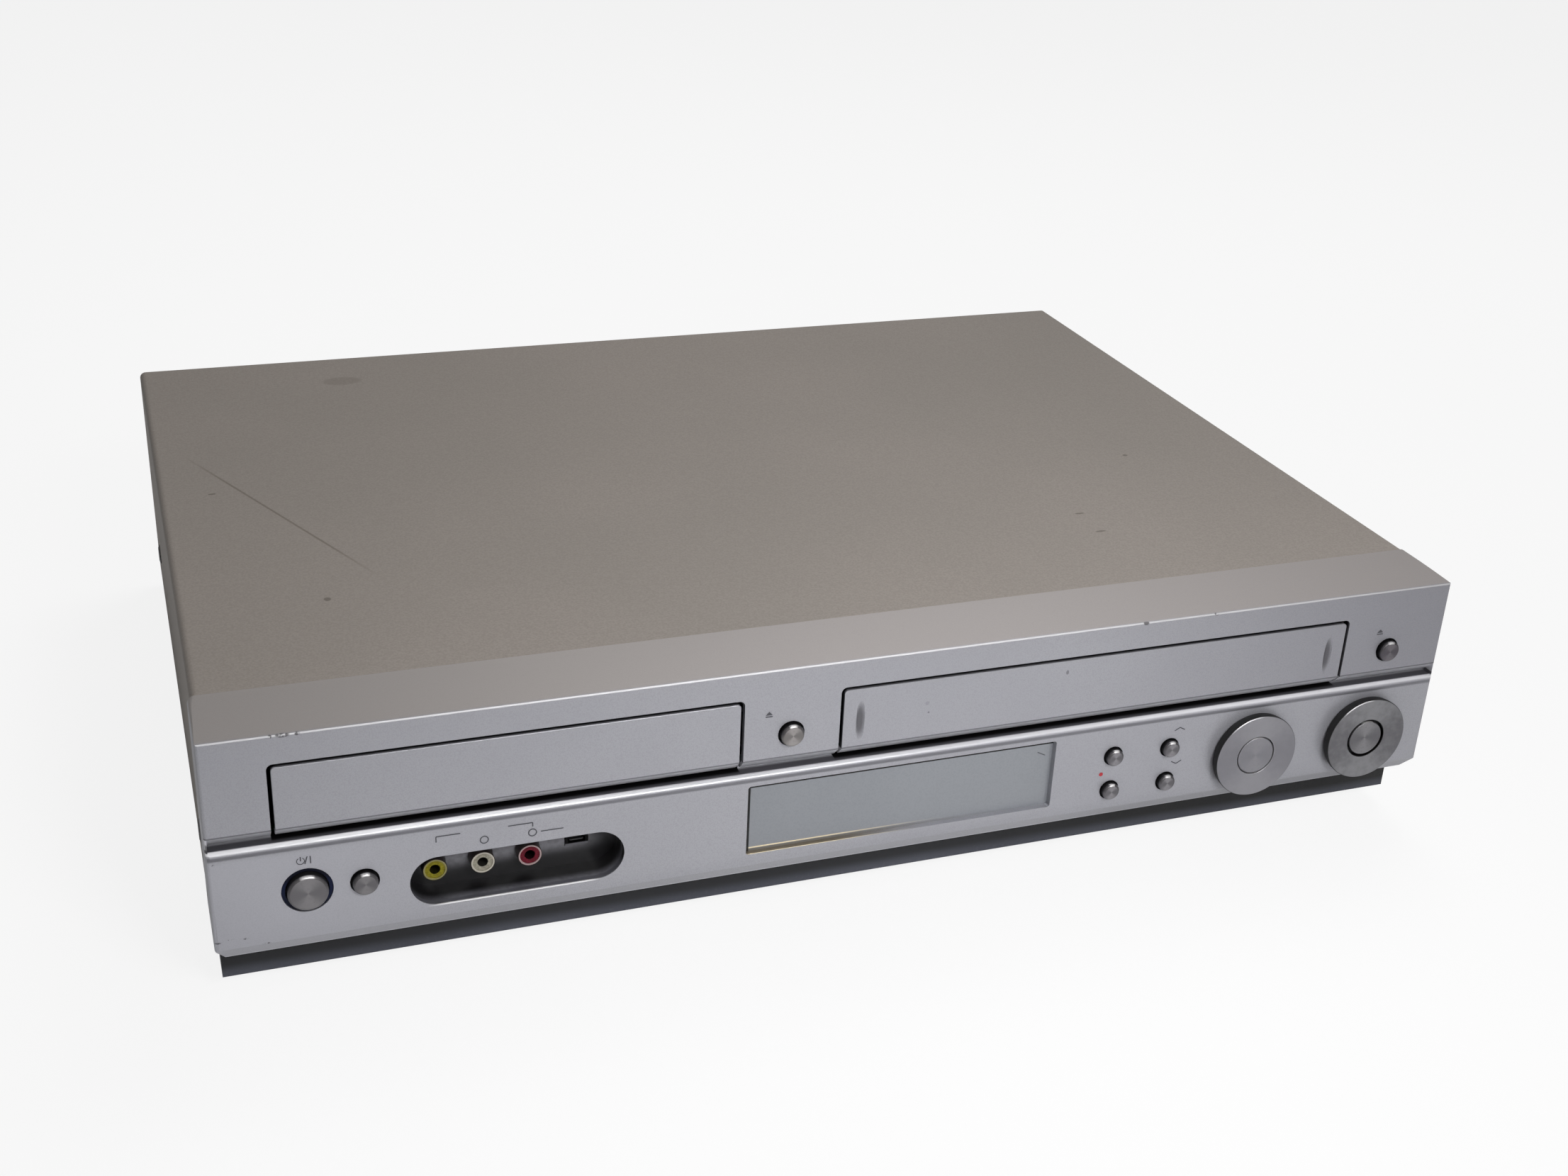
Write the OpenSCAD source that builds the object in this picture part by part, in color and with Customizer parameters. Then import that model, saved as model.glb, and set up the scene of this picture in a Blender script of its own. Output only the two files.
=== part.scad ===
// Disc and tape combination player: a low metal-cased deck with a disc tray on the left,
// a cassette slot on the right and one moulded front that carries all the controls.
// Origin: centre of the overall box on the resting surface. +X right, +Y back, +Z up.

/* [Case] */
// Width of the front moulding
body_w = 430; // [424:1:445]
// Depth from the front face to the back of the case
body_d = 321; // [319:1:345]
// Height from the resting surface to the top of the cover
body_h = 99; // [98:0.5:106]
// Height of the feet
foot_h = 7; // [5:0.5:8]
// Diameter of a foot
foot_dia = 40; // [30:1:46]
// Distance from the case sides to the centre of a foot
foot_inset = 46; // [34:1:60]
// Thickness of the steel sheet
sheet = 1; // [0.8:0.1:1.2]
// How far the cover lies inside the sides of the front moulding
cover_inset = 0.8; // [0.4:0.1:1.4]
// Outer radius of the bends of the cover
cover_bend_r = 2.4; // [1.6:0.1:4]
// Height of the cover's lower edge above the chassis floor
cover_hem = 2; // [1:0.5:4]
// Height of the fold at the back of the cover
cover_fold = 11; // [9:1:14]
// How far the chassis front lies behind the front face
chassis_setback = 13; // [10:0.5:16]

/* [Front moulding] */
// Depth of the front moulding
bezel_d = 27.5; // [26:0.5:29]
// Wall of the front moulding
bezel_wall = 2.2; // [2:0.1:2.4]
// How far the top strip falls from the cover to the front edge
top_drop = 1.4; // [1:0.1:2]
// Height of the upper front face
upper_h = 32; // [31.5:0.1:32.5]
// Depth of the bevel under the upper face
bevel_run = 3.4; // [3:0.1:3.8]
// Height of that bevel
bevel_drop = 3.4; // [3:0.1:3.8]
// Depth of the groove across the front
groove_d = 5.4; // [5:0.2:6.4]
// Height of the groove
groove_h = 1.4; // [1.2:0.1:1.8]
// Radius of the roll along the top of the lower panel
roll_r = 1.8; // [1.5:0.1:2]
// How far the roll stands proud of the face
roll_proud = 0.4; // [0.2:0.1:0.6]
// Height of the lower panel from the groove to its chamfer
lower_h = 34.65; // [34:0.05:36]
// Depth of the chamfer under the lower panel
skirt_run = 4; // [3:0.5:5]
// Height of that chamfer
skirt_drop = 5.25; // [4.5:0.25:6]
// How far the ends of the lower panel taper in at the bottom
skirt_side = 3; // [2:0.5:4]
// Radius of the upright corners of the front
corner_r = 1.2; // [0.6:0.1:2]
// Thickness of the end caps that close the groove
end_cap = 0.8; // [0.6:0.1:1.4]

/* [Bays] */
// From the left side to the disc bay
disc_bay_in = 19.2; // [18:0.1:20]
// Width of the disc bay
disc_bay_w = 146.4; // [145:0.1:148]
// From the right side to the tape bay
tape_bay_in = 40.65; // [39:0.05:42]
// Width of the tape bay
tape_bay_w = 191.3; // [190:0.1:193]
// Width of the post between the two bays
post_w = 32.45; // [31.45:0.1:33.45]
// From the front top edge down to the bays
bay_top = 9.4; // [9:0.1:10]
// Gap round the doors
door_gap = 1.2; // [0.8:0.1:1.5]
// Thickness of the doors
door_t = 2.4; // [2.3:0.1:2.8]
// Radius of the upper corners of the bays
bay_corner_r = 2; // [1.5:0.1:3]
// Flap pivot behind the front face
flap_pivot_y = 4.8; // [4.6:0.1:5.2]
// Flap pivot below the front top edge
flap_pivot_z = 4.8; // [4.7:0.1:5.2]
// Radius of the flap's pivot pins
flap_pin_r = 1.2; // [1:0.1:1.4]

/* [Round buttons] */
// Diameter of the power button's light ring
power_hole_dia = 15.5; // [15:0.1:16]
// Diameter of the power button's cap
power_cap_dia = 12.3; // [11.8:0.1:13]
// Diameter of the holes of the middle buttons
mid_hole_dia = 9; // [8.8:0.1:9.4]
// Diameter of the caps of the middle buttons
mid_cap_dia = 7.7; // [7.4:0.1:8.1]
// Diameter of the holes of the small buttons
small_hole_dia = 7.3; // [7.1:0.1:7.8]
// Diameter of the caps of the small buttons
small_cap_dia = 6.2; // [6:0.1:6.6]
// How far a cap stands proud of the face
cap_proud = 2.3; // [1.8:0.1:2.8]
// Travel of a button
button_travel = 0.8; // [0.6:0.1:1]
// Power button from the left side
power_in = 28.3; // [27:0.1:30]
// Scan button from the left side
scan_in = 45.4; // [44:0.1:47]
// Power and scan buttons below the front top edge
power_down = 54.4; // [53:0.1:56]
// Tray and eject buttons below the front top edge
tray_button_down = 23.4; // [22:0.1:25]
// Tray button from the disc bay
tray_button_gap = 15.9; // [15:0.1:17]
// Eject button from the right side
eject_in = 22.7; // [21:0.1:24]
// First column of small buttons from the right side
small_in = 129.05; // [128:0.05:130]
// Spacing of the columns of small buttons
small_pitch_x = 22.05; // [20:0.05:24]
// Spacing of the rows of small buttons
small_pitch_z = 13.55; // [12:0.05:14]
// Upper row of small buttons below the front top edge
small_down = 50.6; // [49.5:0.1:52]

/* [Discs] */
// Diameter of the two control discs
disc_dia = 32; // [30:0.5:33]
// How far the discs stand proud of the face
disc_proud = 4; // [3:0.1:4.5]
// Gap between a disc and the face
disc_gap = 0.7; // [0.6:0.05:0.9]
// Centre of the jog disc from the right side
jog_in = 73.1; // [72:0.1:74.5]
// Centre of the menu ring from the right side
menu_in = 27.1; // [25:0.1:28]
// Centres of the discs below the front top edge
disc_down = 57.3; // [57:0.1:57.6]
// Diameter of the jog disc's centre button
jog_cap_dia = 14.2; // [13.6:0.1:14.3]
// Diameter of the menu ring's centre button
menu_cap_dia = 13.2; // [12.6:0.1:13.4]
// Diameter of the hole in both discs
disc_bore_dia = 15; // [14.9:0.1:15.3]

/* [Front jacks] */
// Length of the recess
recess_w = 67.9; // [66:0.1:70]
// Height of the recess
recess_h = 17.4; // [16.5:0.1:18]
// Depth of the recess
recess_d = 10.5; // [9:0.1:11.5]
// Centre of the recess from the left side
recess_in = 92.8; // [92:0.1:94]
// Centre of the recess below the front top edge
recess_down = 58.4; // [57.8:0.1:59]
// Spacing of the jacks
jack_pitch = 15; // [14:0.1:15.5]
// Outer diameter of a jack
jack_dia = 7.8; // [7.6:0.1:8.6]
// Bore of a jack
jack_bore = 3.3; // [3.1:0.1:3.6]
// How far a jack stands out of the recess floor
jack_proud = 4.5; // [4:0.1:6]

/* [Display] */
// Width of the display opening
window_w = 110.5; // [106:0.5:112]
// Height of the display opening
window_h = 26; // [24:0.5:27]
// Centre of the display opening from the middle of the front
window_x = 8; // [6:0.1:10]
// Centre of the display opening below the front top edge
window_down = 54.3; // [54:0.1:55]
// Thickness of the window
window_t = 2; // [1.5:0.1:3]

/* [Disc loader] */
// Width of the tray
tray_w = 128; // [127:0.5:130]
// Thickness of the tray
tray_t = 7; // [6.5:0.1:7.4]
// Top of the tray below the front top edge
tray_down = 19; // [18.8:0.1:19.4]
// Length of the tray behind the door
tray_len = 162; // [160:1:164]
// How far the tray slides out
tray_travel = 128; // [110:1:130]
// Diameter of the disc recess
disc_seat_dia = 121; // [120.5:0.5:122]
// Spindle behind the front face
spindle_y = 68; // [66:0.5:70]
// Width of the loader frame
loader_w = 142; // [141:0.5:143]
// Length of the loader frame
loader_len = 180; // [172:1:182]
// Gear module of the tray drive
gear_m = 1; // [0.9:0.05:1.1]
// Travel of the pickup
pickup_travel = 34; // [30:1:36]

/* [Tape deck] */
// Height of the space for a cassette
cassette_h = 25; // [24.8:0.1:25.2]
// Width of the space for a cassette
cassette_w = 188.4; // [187.6:0.1:188.8]
// Front of the cassette carrier behind the front face
carrier_y = 38; // [37:0.5:40]
// Length of the cassette carrier
carrier_len = 80; // [76:1:82]
// Travel of the cassette carrier
carrier_travel = 58; // [50:1:60]
// Deck plate below the front top edge
deck_down = 61.5; // [61:0.1:62]
// Length of the deck plate
deck_len = 200; // [198:1:204]
// Diameter of the head drum
drum_dia = 62; // [60:0.5:63]
// Tilt of the head drum
drum_tilt = 5.9; // [5:0.1:6.2]
// Drum centre behind the front face
drum_y = 232; // [230:0.5:234]
// Distance between the two reel tables
reel_pitch = 93; // [90:0.5:95]

/* [Back] */
// How far the antenna sockets stand out of the case
rear_proud = 9; // [8:0.5:11]
// Side of the fan
fan_size = 60; // [56:1:61]
// Thickness of the fan
fan_t = 15; // [13:0.5:16]
// Fan centre from the left side
fan_in = 77; // [74:1:80]
// Spacing of the sockets on the back
socket_pitch = 14; // [13.5:0.1:14.5]

/* [Hidden] */
$fn = 64;
eps = 0.01;
run_fit = 0.06;    // radial clearance of a pin in its bore
slide_fit = 0.3;   // clearance of a part that slides
overall_d = disc_proud + body_d + rear_proud;
face_y = disc_proud - overall_d / 2;
top_z = body_h - top_drop;
floor_z = foot_h + sheet - top_z;
half_w = body_w / 2;
bay_margins = disc_bay_in + post_w + tape_bay_in;  // as given, before they are spread
spread = body_w / (bay_margins + disc_bay_w + tape_bay_w);
bay_spread = (body_w - disc_bay_w - tape_bay_w) / bay_margins;
cover_x = half_w - cover_inset;
chassis_x = cover_x - sheet;
back_y = body_d - sheet;
crease_z = -upper_h;
bevel_z = crease_z - bevel_drop;
groove_z = bevel_z - groove_h;
lower_z = groove_z - lower_h;
skirt_z = lower_z - skirt_drop;
cavity_top = groove_z - bezel_wall;
disc_bay_x0 = -half_w + disc_bay_in * bay_spread;
disc_bay_x1 = disc_bay_x0 + disc_bay_w;
disc_x = (disc_bay_x0 + disc_bay_x1) / 2;
tape_bay_x1 = half_w - tape_bay_in * bay_spread;
tape_bay_x0 = tape_bay_x1 - tape_bay_w;
tape_x = (tape_bay_x0 + tape_bay_x1) / 2;
door_top = -bay_top - door_gap;
power_x = -half_w + power_in * spread;
scan_x = -half_w + scan_in * spread;
tray_button_x = disc_bay_x1 + tray_button_gap * bay_spread;
eject_x = half_w - eject_in * bay_spread;
small_x = half_w - small_in * spread;
jog_x = half_w - jog_in * spread;
menu_x = half_w - menu_in * spread;
recess_x = -half_w + recess_in * spread;
opening_x = window_x * spread;
opening_w = window_w * spread;
board_y = 14;             // front of the control board
board_t = 1.6;
switch_h = 3.5;
plunger_y = board_y - switch_h - 0.5;
stem_end = plunger_y - button_travel - 0.2;
tilt_y = bezel_wall + 2.3;  // rocking axis of the discs behind the face
disc_tube_r = 9.4;
gimbal_in_r = 10;
gimbal_out_r = 12.4;
rocker_pin_r = 0.9;
tray_z = -tray_down;
tray_floor = tray_z - tray_t;
loader_y0 = board_y + board_t + 0.8;
loader_y1 = loader_y0 + loader_len;
loader_top = tray_z + 7;
loader_base = tray_floor - 20;
rail_gap = 0.4;
slot_half = 18;
pinion_n = 16;
wheel_n = 32;
motor_n = 8;
pinion_r = gear_m * pinion_n / 2;
wheel_r = gear_m * wheel_n / 2;
motor_r = gear_m * motor_n / 2;
rack_x = -tray_w / 2 + 6;   // pitch line of the rack from the middle of the tray
pinion_x = disc_x + rack_x + pinion_r;
pinion_y = loader_y0 + 15.6;
pinion_z0 = tray_floor - 6.4;
pinion_z1 = tray_floor - 0.5;
wheel_z0 = pinion_z0 - 4;
backlash = 0.12;
table_z = tray_z - 2;
rod_r = 1.5;
rod_x = 24;
rod_z = tray_floor - 7;
carrier_z = bevel_z - groove_h + 0.7;      // cassette's underside in the bay
carrier_sheet = 0.8;
carrier_x = cassette_w / 2 + 1.2;
housing_x = carrier_x + carrier_sheet + 1;
housing_t = 1.2;
carrier_pin_y = carrier_y + carrier_len / 2;
carrier_pin_z = carrier_z + cassette_h / 2;
carrier_pin_r = 2;
deck_z = -deck_down;
deck_t = 1.5;
deck_y0 = 46;
reel_y = 150;
reel_x = reel_pitch / 2;
capstan_x = 70;
capstan_y = 200;
capstan_r = 1.5;
flywheel_r = 22;
pinch_pivot = [84, 178];
pinch_arm_len = 24;
pinch_rest_angle = 170;
pinch_roller_r = 8;
guide_start = [30, 190];
guide_dir = [sin(15), cos(15)];
guide_run = 44;
guide_end = guide_start + guide_run * guide_dir;
fan_x = -half_w + fan_in;
fan_z = floor_z + 8 + fan_size / 2;
power_board_y0 = body_d - 98;
power_board_y1 = body_d - 8;
low_board_z = floor_z + 6;
inlet_x = -half_w + 26;
inlet_z = floor_z + 30;
inlet_w = 17;
inlet_h = 9;
antenna_x = half_w - 45;
antenna_z = floor_z + 62;
power_board_w = 128;
av_x0 = -half_w + 12 + power_board_w + 5;
av_cols = 9;
av_z = floor_z + 52;

// ---- shared forms -------------------------------------------------------------------

// Moves the working frame (face plane y = 0, front top edge z = 0) to its place
module placed() {
  translate([0, face_y, top_z]) children();
}

// Extrudes a depth and height outline across the width
module across(x0, x1) {
  translate([x0, 0, 0]) rotate([90, 0, 90]) linear_extrude(x1 - x0) children();
}

// Extrudes a width and height outline from front to back
module backwards(y0, y1) {
  translate([0, y1, 0]) rotate([90, 0, 0]) linear_extrude(y1 - y0) children();
}

// Extrudes a plan outline upwards
module upwards(z0, z1) {
  translate([0, 0, z0]) linear_extrude(z1 - z0) children();
}

// Box between two opposite corners
module block(low, high) {
  translate(low) cube(high - low);
}

// Turned part whose axis runs backwards from the face at x, z
module turned_back(x, z) {
  translate([x, 0, z]) rotate([-90, 0, 0]) rotate_extrude() children();
}

// Rod along Y
module rod_y(x, z, r, y0, y1) {
  translate([x, y0, z]) rotate([-90, 0, 0]) cylinder(r = r, h = y1 - y0);
}

// Rod along X
module rod_x(y, z, r, x0, x1) {
  translate([x0, y, z]) rotate([0, 90, 0]) cylinder(r = r, h = x1 - x0);
}

// Rod along Z
module rod_z(x, y, r, z0, z1) {
  translate([x, y, z0]) cylinder(r = r, h = z1 - z0);
}

// Rectangle outline with round corners, centred
module round_rect(w, h, r) {
  square([w - 2 * r, h], center = true);
  square([w, h - 2 * r], center = true);
  for (i = [-1, 1], j = [-1, 1])
    translate([i * (w / 2 - r), j * (h / 2 - r)]) circle(r);
}

// Slot outline with full round ends from point a to point b
module slot_outline(a, b, r) {
  d = b - a;
  len = norm(d);
  translate(a) circle(r);
  translate(b) circle(r);
  translate(a) rotate(atan2(d[1], d[0])) translate([0, -r]) square([len, 2 * r]);
}

// Bay outline: square below, round at its two upper corners
module bay_outline(x0, x1, z0, z1, r) {
  translate([x0, z0]) square([x1 - x0, z1 - z0 - r]);
  translate([x0 + r, z0]) square([x1 - x0 - 2 * r, z1 - z0]);
  for (x = [x0 + r, x1 - r])
    translate([x, z1 - r]) circle(r);
}

// Involute angle at radius r of a gear with base radius rb
function roll_angle(r, rb) =
  let (t = sqrt(max(0, r * r / (rb * rb) - 1))) t * 180 / PI - atan(t);

// Outline of a spur gear with n teeth of module m
function gear_points(m, n, play) =
  let (
    rp = m * n / 2,
    rb = rp * cos(20),
    ra = rp + 0.95 * m,
    rf = rp - 1.2 * m,
    rs = max(rb, rf),
    half = 90 / n - play / rp * 90 / PI,
    radii = [for (k = [0:3]) rs + (ra - rs) * k / 3],
    widths = [for (r = radii) half + roll_angle(rp, rb) - roll_angle(r, rb)]
  )
  [for (i = [0:n - 1]) let (a = i * 360 / n) each concat(
    [rf * [cos(a - widths[0]), sin(a - widths[0])]],
    [for (k = [0:3]) radii[k] * [cos(a - widths[k]), sin(a - widths[k])]],
    [for (k = [3:-1:0]) radii[k] * [cos(a + widths[k]), sin(a + widths[k])]],
    [rf * [cos(a + widths[0]), sin(a + widths[0])]]
  )];

// ---- case ---------------------------------------------------------------------------

// Outline of the bent cover, seen from the front
module cover_outline(x, z1, z0, r) {
  translate([-x, z0]) square([2 * x, z1 - z0 - r]);
  translate([-x + r, z0]) square([2 * x - 2 * r, z1 - z0]);
  for (i = [-1, 1])
    translate([i * (x - r), z1 - r]) circle(r);
}

module cover_skin() {
  hem_z = floor_z - sheet + cover_hem;
  backwards(bezel_d, body_d) difference() {
    cover_outline(cover_x, top_drop, hem_z, cover_bend_r);
    cover_outline(chassis_x, top_drop - sheet, hem_z - 1, cover_bend_r - sheet);
  }
}

// Places of the cover's side screws: distance from the face, height
side_screws = [[bezel_d + 32, floor_z + 24], [body_d - 40, floor_z + 24]];
back_screws = [-half_w + 40, 0, half_w - 40];
screw_r = 2;
screw_head_r = 4;
screw_head_h = 0.7;
back_screw_z = top_drop - cover_fold / 2;

module screw_holes() {
  for (s = side_screws)
    rod_x(s[0], s[1], screw_r + slide_fit, -half_w - 1, half_w + 1);
  for (x = back_screws)
    rod_y(x, back_screw_z, screw_r + slide_fit, body_d - 4 * sheet, body_d + 1);
}

module top_cover() {
  fold_margin = 14;
  color([0.56, 0.54, 0.50]) placed() difference() {
    union() {
      cover_skin();
      block([-cover_x + fold_margin, body_d - sheet, top_drop - cover_fold],
            [cover_x - fold_margin, body_d, top_drop - sheet + eps]);
    }
    screw_holes();
  }
}

module cover_screw() {
  rotate_extrude() polygon([
    [0, -3.5], [screw_r, -3.5], [screw_r, 0], [screw_head_r, 0],
    [screw_head_r, screw_head_h * 0.4], [screw_head_r - 1.2, screw_head_h], [0, screw_head_h]
  ]);
}

module cover_screws() {
  color([0.45, 0.44, 0.42]) placed() {
    for (s = side_screws, i = [-1, 1])
      translate([i * cover_x, s[0], s[1]]) rotate([0, i * 90, 0]) cover_screw();
    for (x = back_screws)
      translate([x, body_d, back_screw_z]) rotate([-90, 0, 0]) cover_screw();
  }
}

module vent_slots(x0, count, y0, length) {
  slot_pitch = 7;
  for (i = [0:count - 1])
    translate([0, 0, floor_z - sheet - 1]) linear_extrude(sheet + 2)
      slot_outline([x0 + i * slot_pitch, y0], [x0 + i * slot_pitch, y0 + length], 1.5);
}

// Spots where a foot is screwed on: x, y
foot_spots = [for (x = [-half_w + foot_inset, half_w - foot_inset],
                   y = [chassis_setback + 38, body_d - 45]) [x, y]];

module bottom_chassis() {
  rib_h = 1.2;
  rim_top = skirt_z;
  color([0.32, 0.33, 0.36]) placed() difference() {
    union() {
      block([-chassis_x, chassis_setback, floor_z - sheet], [chassis_x, back_y - sheet, floor_z]);
      block([-chassis_x, chassis_setback, floor_z - sheet],
            [chassis_x, chassis_setback + sheet, rim_top]);
      for (i = [-1, 1])
        block([i * (chassis_x - sheet / 2) - sheet / 2, chassis_setback, floor_z - sheet],
              [i * (chassis_x - sheet / 2) + sheet / 2, back_y - sheet, rim_top]);
      for (y = [chassis_setback + 90, chassis_setback + 200])
        block([-chassis_x + 30, y, floor_z - eps], [chassis_x - 30, y + 8, floor_z + rib_h]);
    }
    vent_slots(-half_w + 60, 9, chassis_setback + 110, 60);
    vent_slots(half_w - 120, 9, chassis_setback + 110, 60);
    for (f = foot_spots)
      rod_z(f[0], f[1], 2.3, floor_z - sheet - 1, floor_z + 1);
  }
}

module feet() {
  r = foot_dia / 2;
  color([0.16, 0.16, 0.17]) placed()
    for (f = foot_spots)
      translate([f[0], f[1], -top_z]) rotate_extrude() polygon([
        [0, 1.2], [r * 0.55, 1.2], [r * 0.55, 0], [r * 0.9, 0],
        [r, 1.2], [r * 0.94, foot_h], [0, foot_h]
      ]);
}

// Cut-outs of the back panel, all run right through it
module back_cutouts() {
  y0 = back_y - sheet - 1;
  y1 = back_y + 1;
  grille_r = fan_size / 2 - 3;
  for (k = [0:2], q = [0:3])
    backwards_arc(fan_x, fan_z, 8 + k * (grille_r - 8) / 3, 3.4, q * 90 + 8, q * 90 + 82, y0, y1);
  for (i = [-1, 1], j = [-1, 1])
    rod_y(fan_x + i * (fan_size / 2 - 5), fan_z + j * (fan_size / 2 - 5), 2.2, y0, y1);
  backwards(y0, y1) translate([inlet_x, inlet_z]) round_rect(inlet_w + 4.6, inlet_h + 4.6, 2);
  for (c = [0:av_cols - 1], r = [0, 1])
    rod_y(av_x0 + c * socket_pitch, av_z - r * socket_pitch, jack_dia / 2 + slide_fit, y0, y1);
  for (i = [0, 1])
    rod_y(antenna_x, antenna_z - i * 22, 6.3, y0, y1);
}

// Curved slot of a fan grille: radius, width, angles
module backwards_arc(x, z, r, w, a0, a1, y0, y1) {
  translate([x, y1, z]) rotate([90, 0, 0]) rotate([0, 0, a0])
    rotate_extrude(angle = a1 - a0) translate([r, 0]) square([w, y1 - y0]);
}

module rear_panel() {
  color([0.33, 0.34, 0.37]) placed() difference() {
    union() {
      backwards(back_y - sheet, back_y)
        cover_outline(chassis_x, top_drop - sheet, floor_z - sheet, cover_bend_r);
      for (i = [-1, 1])
        block([i * (chassis_x - 10.5) - 8, back_y - sheet - 9, top_drop - 2 * sheet],
              [i * (chassis_x - 10.5) + 8, back_y - sheet + eps, top_drop - sheet]);
    }
    back_cutouts();
    screw_holes();
  }
}

// ---- front moulding -----------------------------------------------------------------

// Points of the roll along the top of the lower panel, down to where it meets the face
roll_sweep = 90 + acos(1 - roll_proud / roll_r);
roll_points = [for (i = [0:10]) let (a = 90 + roll_sweep * i / 10)
  [roll_r - roll_proud + roll_r * cos(a), groove_z - roll_r + roll_r * sin(a)]];

front_outline = concat(
  [[bezel_d, top_drop], [0.35, 0.02], [0, -0.35], [0, crease_z], [bevel_run, bevel_z],
   [groove_d, bevel_z], [groove_d, groove_z]],
  roll_points,
  [[0, lower_z], [skirt_run, skirt_z], [bezel_d, skirt_z]]
);

// Outline of the end caps: the same without its groove
end_outline = [
  [bezel_d, top_drop], [0.35, 0.02], [0, -0.35], [0, lower_z], [skirt_run, skirt_z],
  [bezel_d, skirt_z]
];

front_cavity = [
  [bezel_d + 1, top_drop - bezel_wall],
  [bezel_wall, -bezel_wall],
  [bezel_wall, bevel_z + bezel_wall],
  [groove_d + bezel_wall, bevel_z + bezel_wall],
  [groove_d + bezel_wall, cavity_top],
  [bezel_wall, cavity_top],
  [bezel_wall, lower_z - 0.4],
  [skirt_run + 1.6, skirt_z + bezel_wall],
  [bezel_d + 1, skirt_z + bezel_wall]
];

// Plan outline of the front with its round upright corners
module front_plan() {
  translate([-half_w + corner_r, -1]) square([body_w - 2 * corner_r, bezel_d + 1]);
  translate([-half_w, corner_r]) square([body_w, bezel_d - corner_r]);
  for (i = [-1, 1])
    translate([i * (half_w - corner_r), corner_r]) circle(corner_r);
}

// Outline across the front that tapers in at the bottom of its ends
module end_taper(inset, z1) {
  low_inset = inset + skirt_side * (skirt_drop + 1) / skirt_drop;
  polygon([
    [-half_w + inset, z1], [-half_w + inset, lower_z], [-half_w + low_inset, skirt_z - 1],
    [half_w - low_inset, skirt_z - 1], [half_w - inset, lower_z], [half_w - inset, z1]
  ]);
}

module front_shell() {
  intersection() {
    difference() {
      union() {
        across(-half_w, half_w) polygon(front_outline);
        across(-half_w, -half_w + end_cap) polygon(end_outline);
        across(half_w - end_cap, half_w) polygon(end_outline);
      }
      intersection() {
        across(-half_w + bezel_wall, half_w - bezel_wall) polygon(front_cavity);
        backwards(0, bezel_d + 2) end_taper(bezel_wall, top_drop + 2);
      }
    }
    upwards(skirt_z - 1, top_drop + 1) front_plan();
    backwards(-1, bezel_d + 1)
      cover_outline(half_w, top_drop, skirt_z - 1, cover_bend_r);
    backwards(-1, bezel_d + 1) end_taper(0, top_drop + 1);
  }
}

// One pocketed post behind the face that carries a small switch board
module board_post(x, z) {
  rod_y(x, z, 2, bezel_wall - eps, board_y);
}

// Bearing block of a flap pin; side is -1 for the left end, 1 for the right end
module flap_bearing(side) {
  x = side < 0 ? tape_bay_x0 : tape_bay_x1;
  block([x + side * 2.4 - 1.8, bezel_wall - eps, -flap_pivot_z - 3],
        [x + side * 2.4 + 1.8, flap_pivot_y + 3, -flap_pivot_z + 3]);
}

// Pair of bearing blocks above and below a rocking disc
module rocker_bearings(x, inner) {
  for (i = [-1, 1])
    block([x - 2.6, bezel_wall - eps, -disc_down + (i < 0 ? -inner - 3 : inner)],
          [x + 2.6, tilt_y + 2.2, -disc_down + (i < 0 ? -inner : inner + 3)]);
}

module button_hole(x, down, dia) {
  rod_y(x, -down, dia / 2, -roll_proud - 1, bezel_wall + 0.5);
}

module front_bezel() {
  color([0.71, 0.72, 0.75]) placed() difference() {
    union() {
      front_shell();
      for (side = [-1, 1])
        flap_bearing(side);
      rocker_bearings(jog_x, disc_tube_r + 0.5);
      rocker_bearings(menu_x, gimbal_out_r + 0.4);
      for (x = [tray_button_x - 5.5, tray_button_x + 5.5, eject_x - 5.5, eject_x + 5.5])
        board_post(x, -tray_button_down + 8);
      for (i = [-3, -1, 1, 3])
        block([i * half_w / 4 - 8, bezel_d - 3, top_drop - sheet - 1.2],
              [i * half_w / 4 + 8, bezel_d + 6, top_drop - sheet]);
    }
    backwards(-1, groove_d + bezel_wall + 1)
      bay_outline(disc_bay_x0, disc_bay_x1, groove_z, -bay_top, bay_corner_r);
    backwards(-1, groove_d + bezel_wall + 1)
      bay_outline(tape_bay_x0, tape_bay_x1, groove_z, -bay_top, bay_corner_r);
    backwards(-1, bezel_wall + 1) translate([opening_x, -window_down])
      round_rect(opening_w, window_h, 1);
    backwards(-1, bezel_wall + 1) recess_outline(0);
    button_hole(power_x, power_down, power_hole_dia);
    button_hole(scan_x, power_down, mid_hole_dia);
    button_hole(tray_button_x, tray_button_down, mid_hole_dia);
    button_hole(eject_x, tray_button_down, mid_hole_dia);
    for (c = [0, 1], r = [0, 1])
      button_hole(small_x + c * small_pitch_x, small_down + r * small_pitch_z, small_hole_dia);
    for (x = [jog_x, menu_x])
      button_hole(x, disc_down, 2 * disc_tube_r + 0.8);
    for (x = [jog_x, menu_x])
      rod_z(x, tilt_y, rocker_pin_r + run_fit, -disc_down - 20, -disc_down + 17.4);
    rod_x(flap_pivot_y, -flap_pivot_z, flap_pin_r + run_fit, tape_bay_x0 - 5, tape_bay_x1 + 5);
  }
}

// ---- doors --------------------------------------------------------------------------

door_section = [
  [0, door_top], [door_t, door_top], [door_t, crease_z + 0.4],
  [bevel_run + 1.2, bevel_z + 0.9], [bevel_run + 1.2, bevel_z], [bevel_run, bevel_z],
  [0, crease_z]
];

module door_panel(x0, x1) {
  r = bay_corner_r - door_gap / 2;
  intersection() {
    across(x0, x1) polygon(door_section);
    backwards(-1, bevel_run + 2) bay_outline(x0, x1, bevel_z - 1, door_top, r);
  }
}

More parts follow.
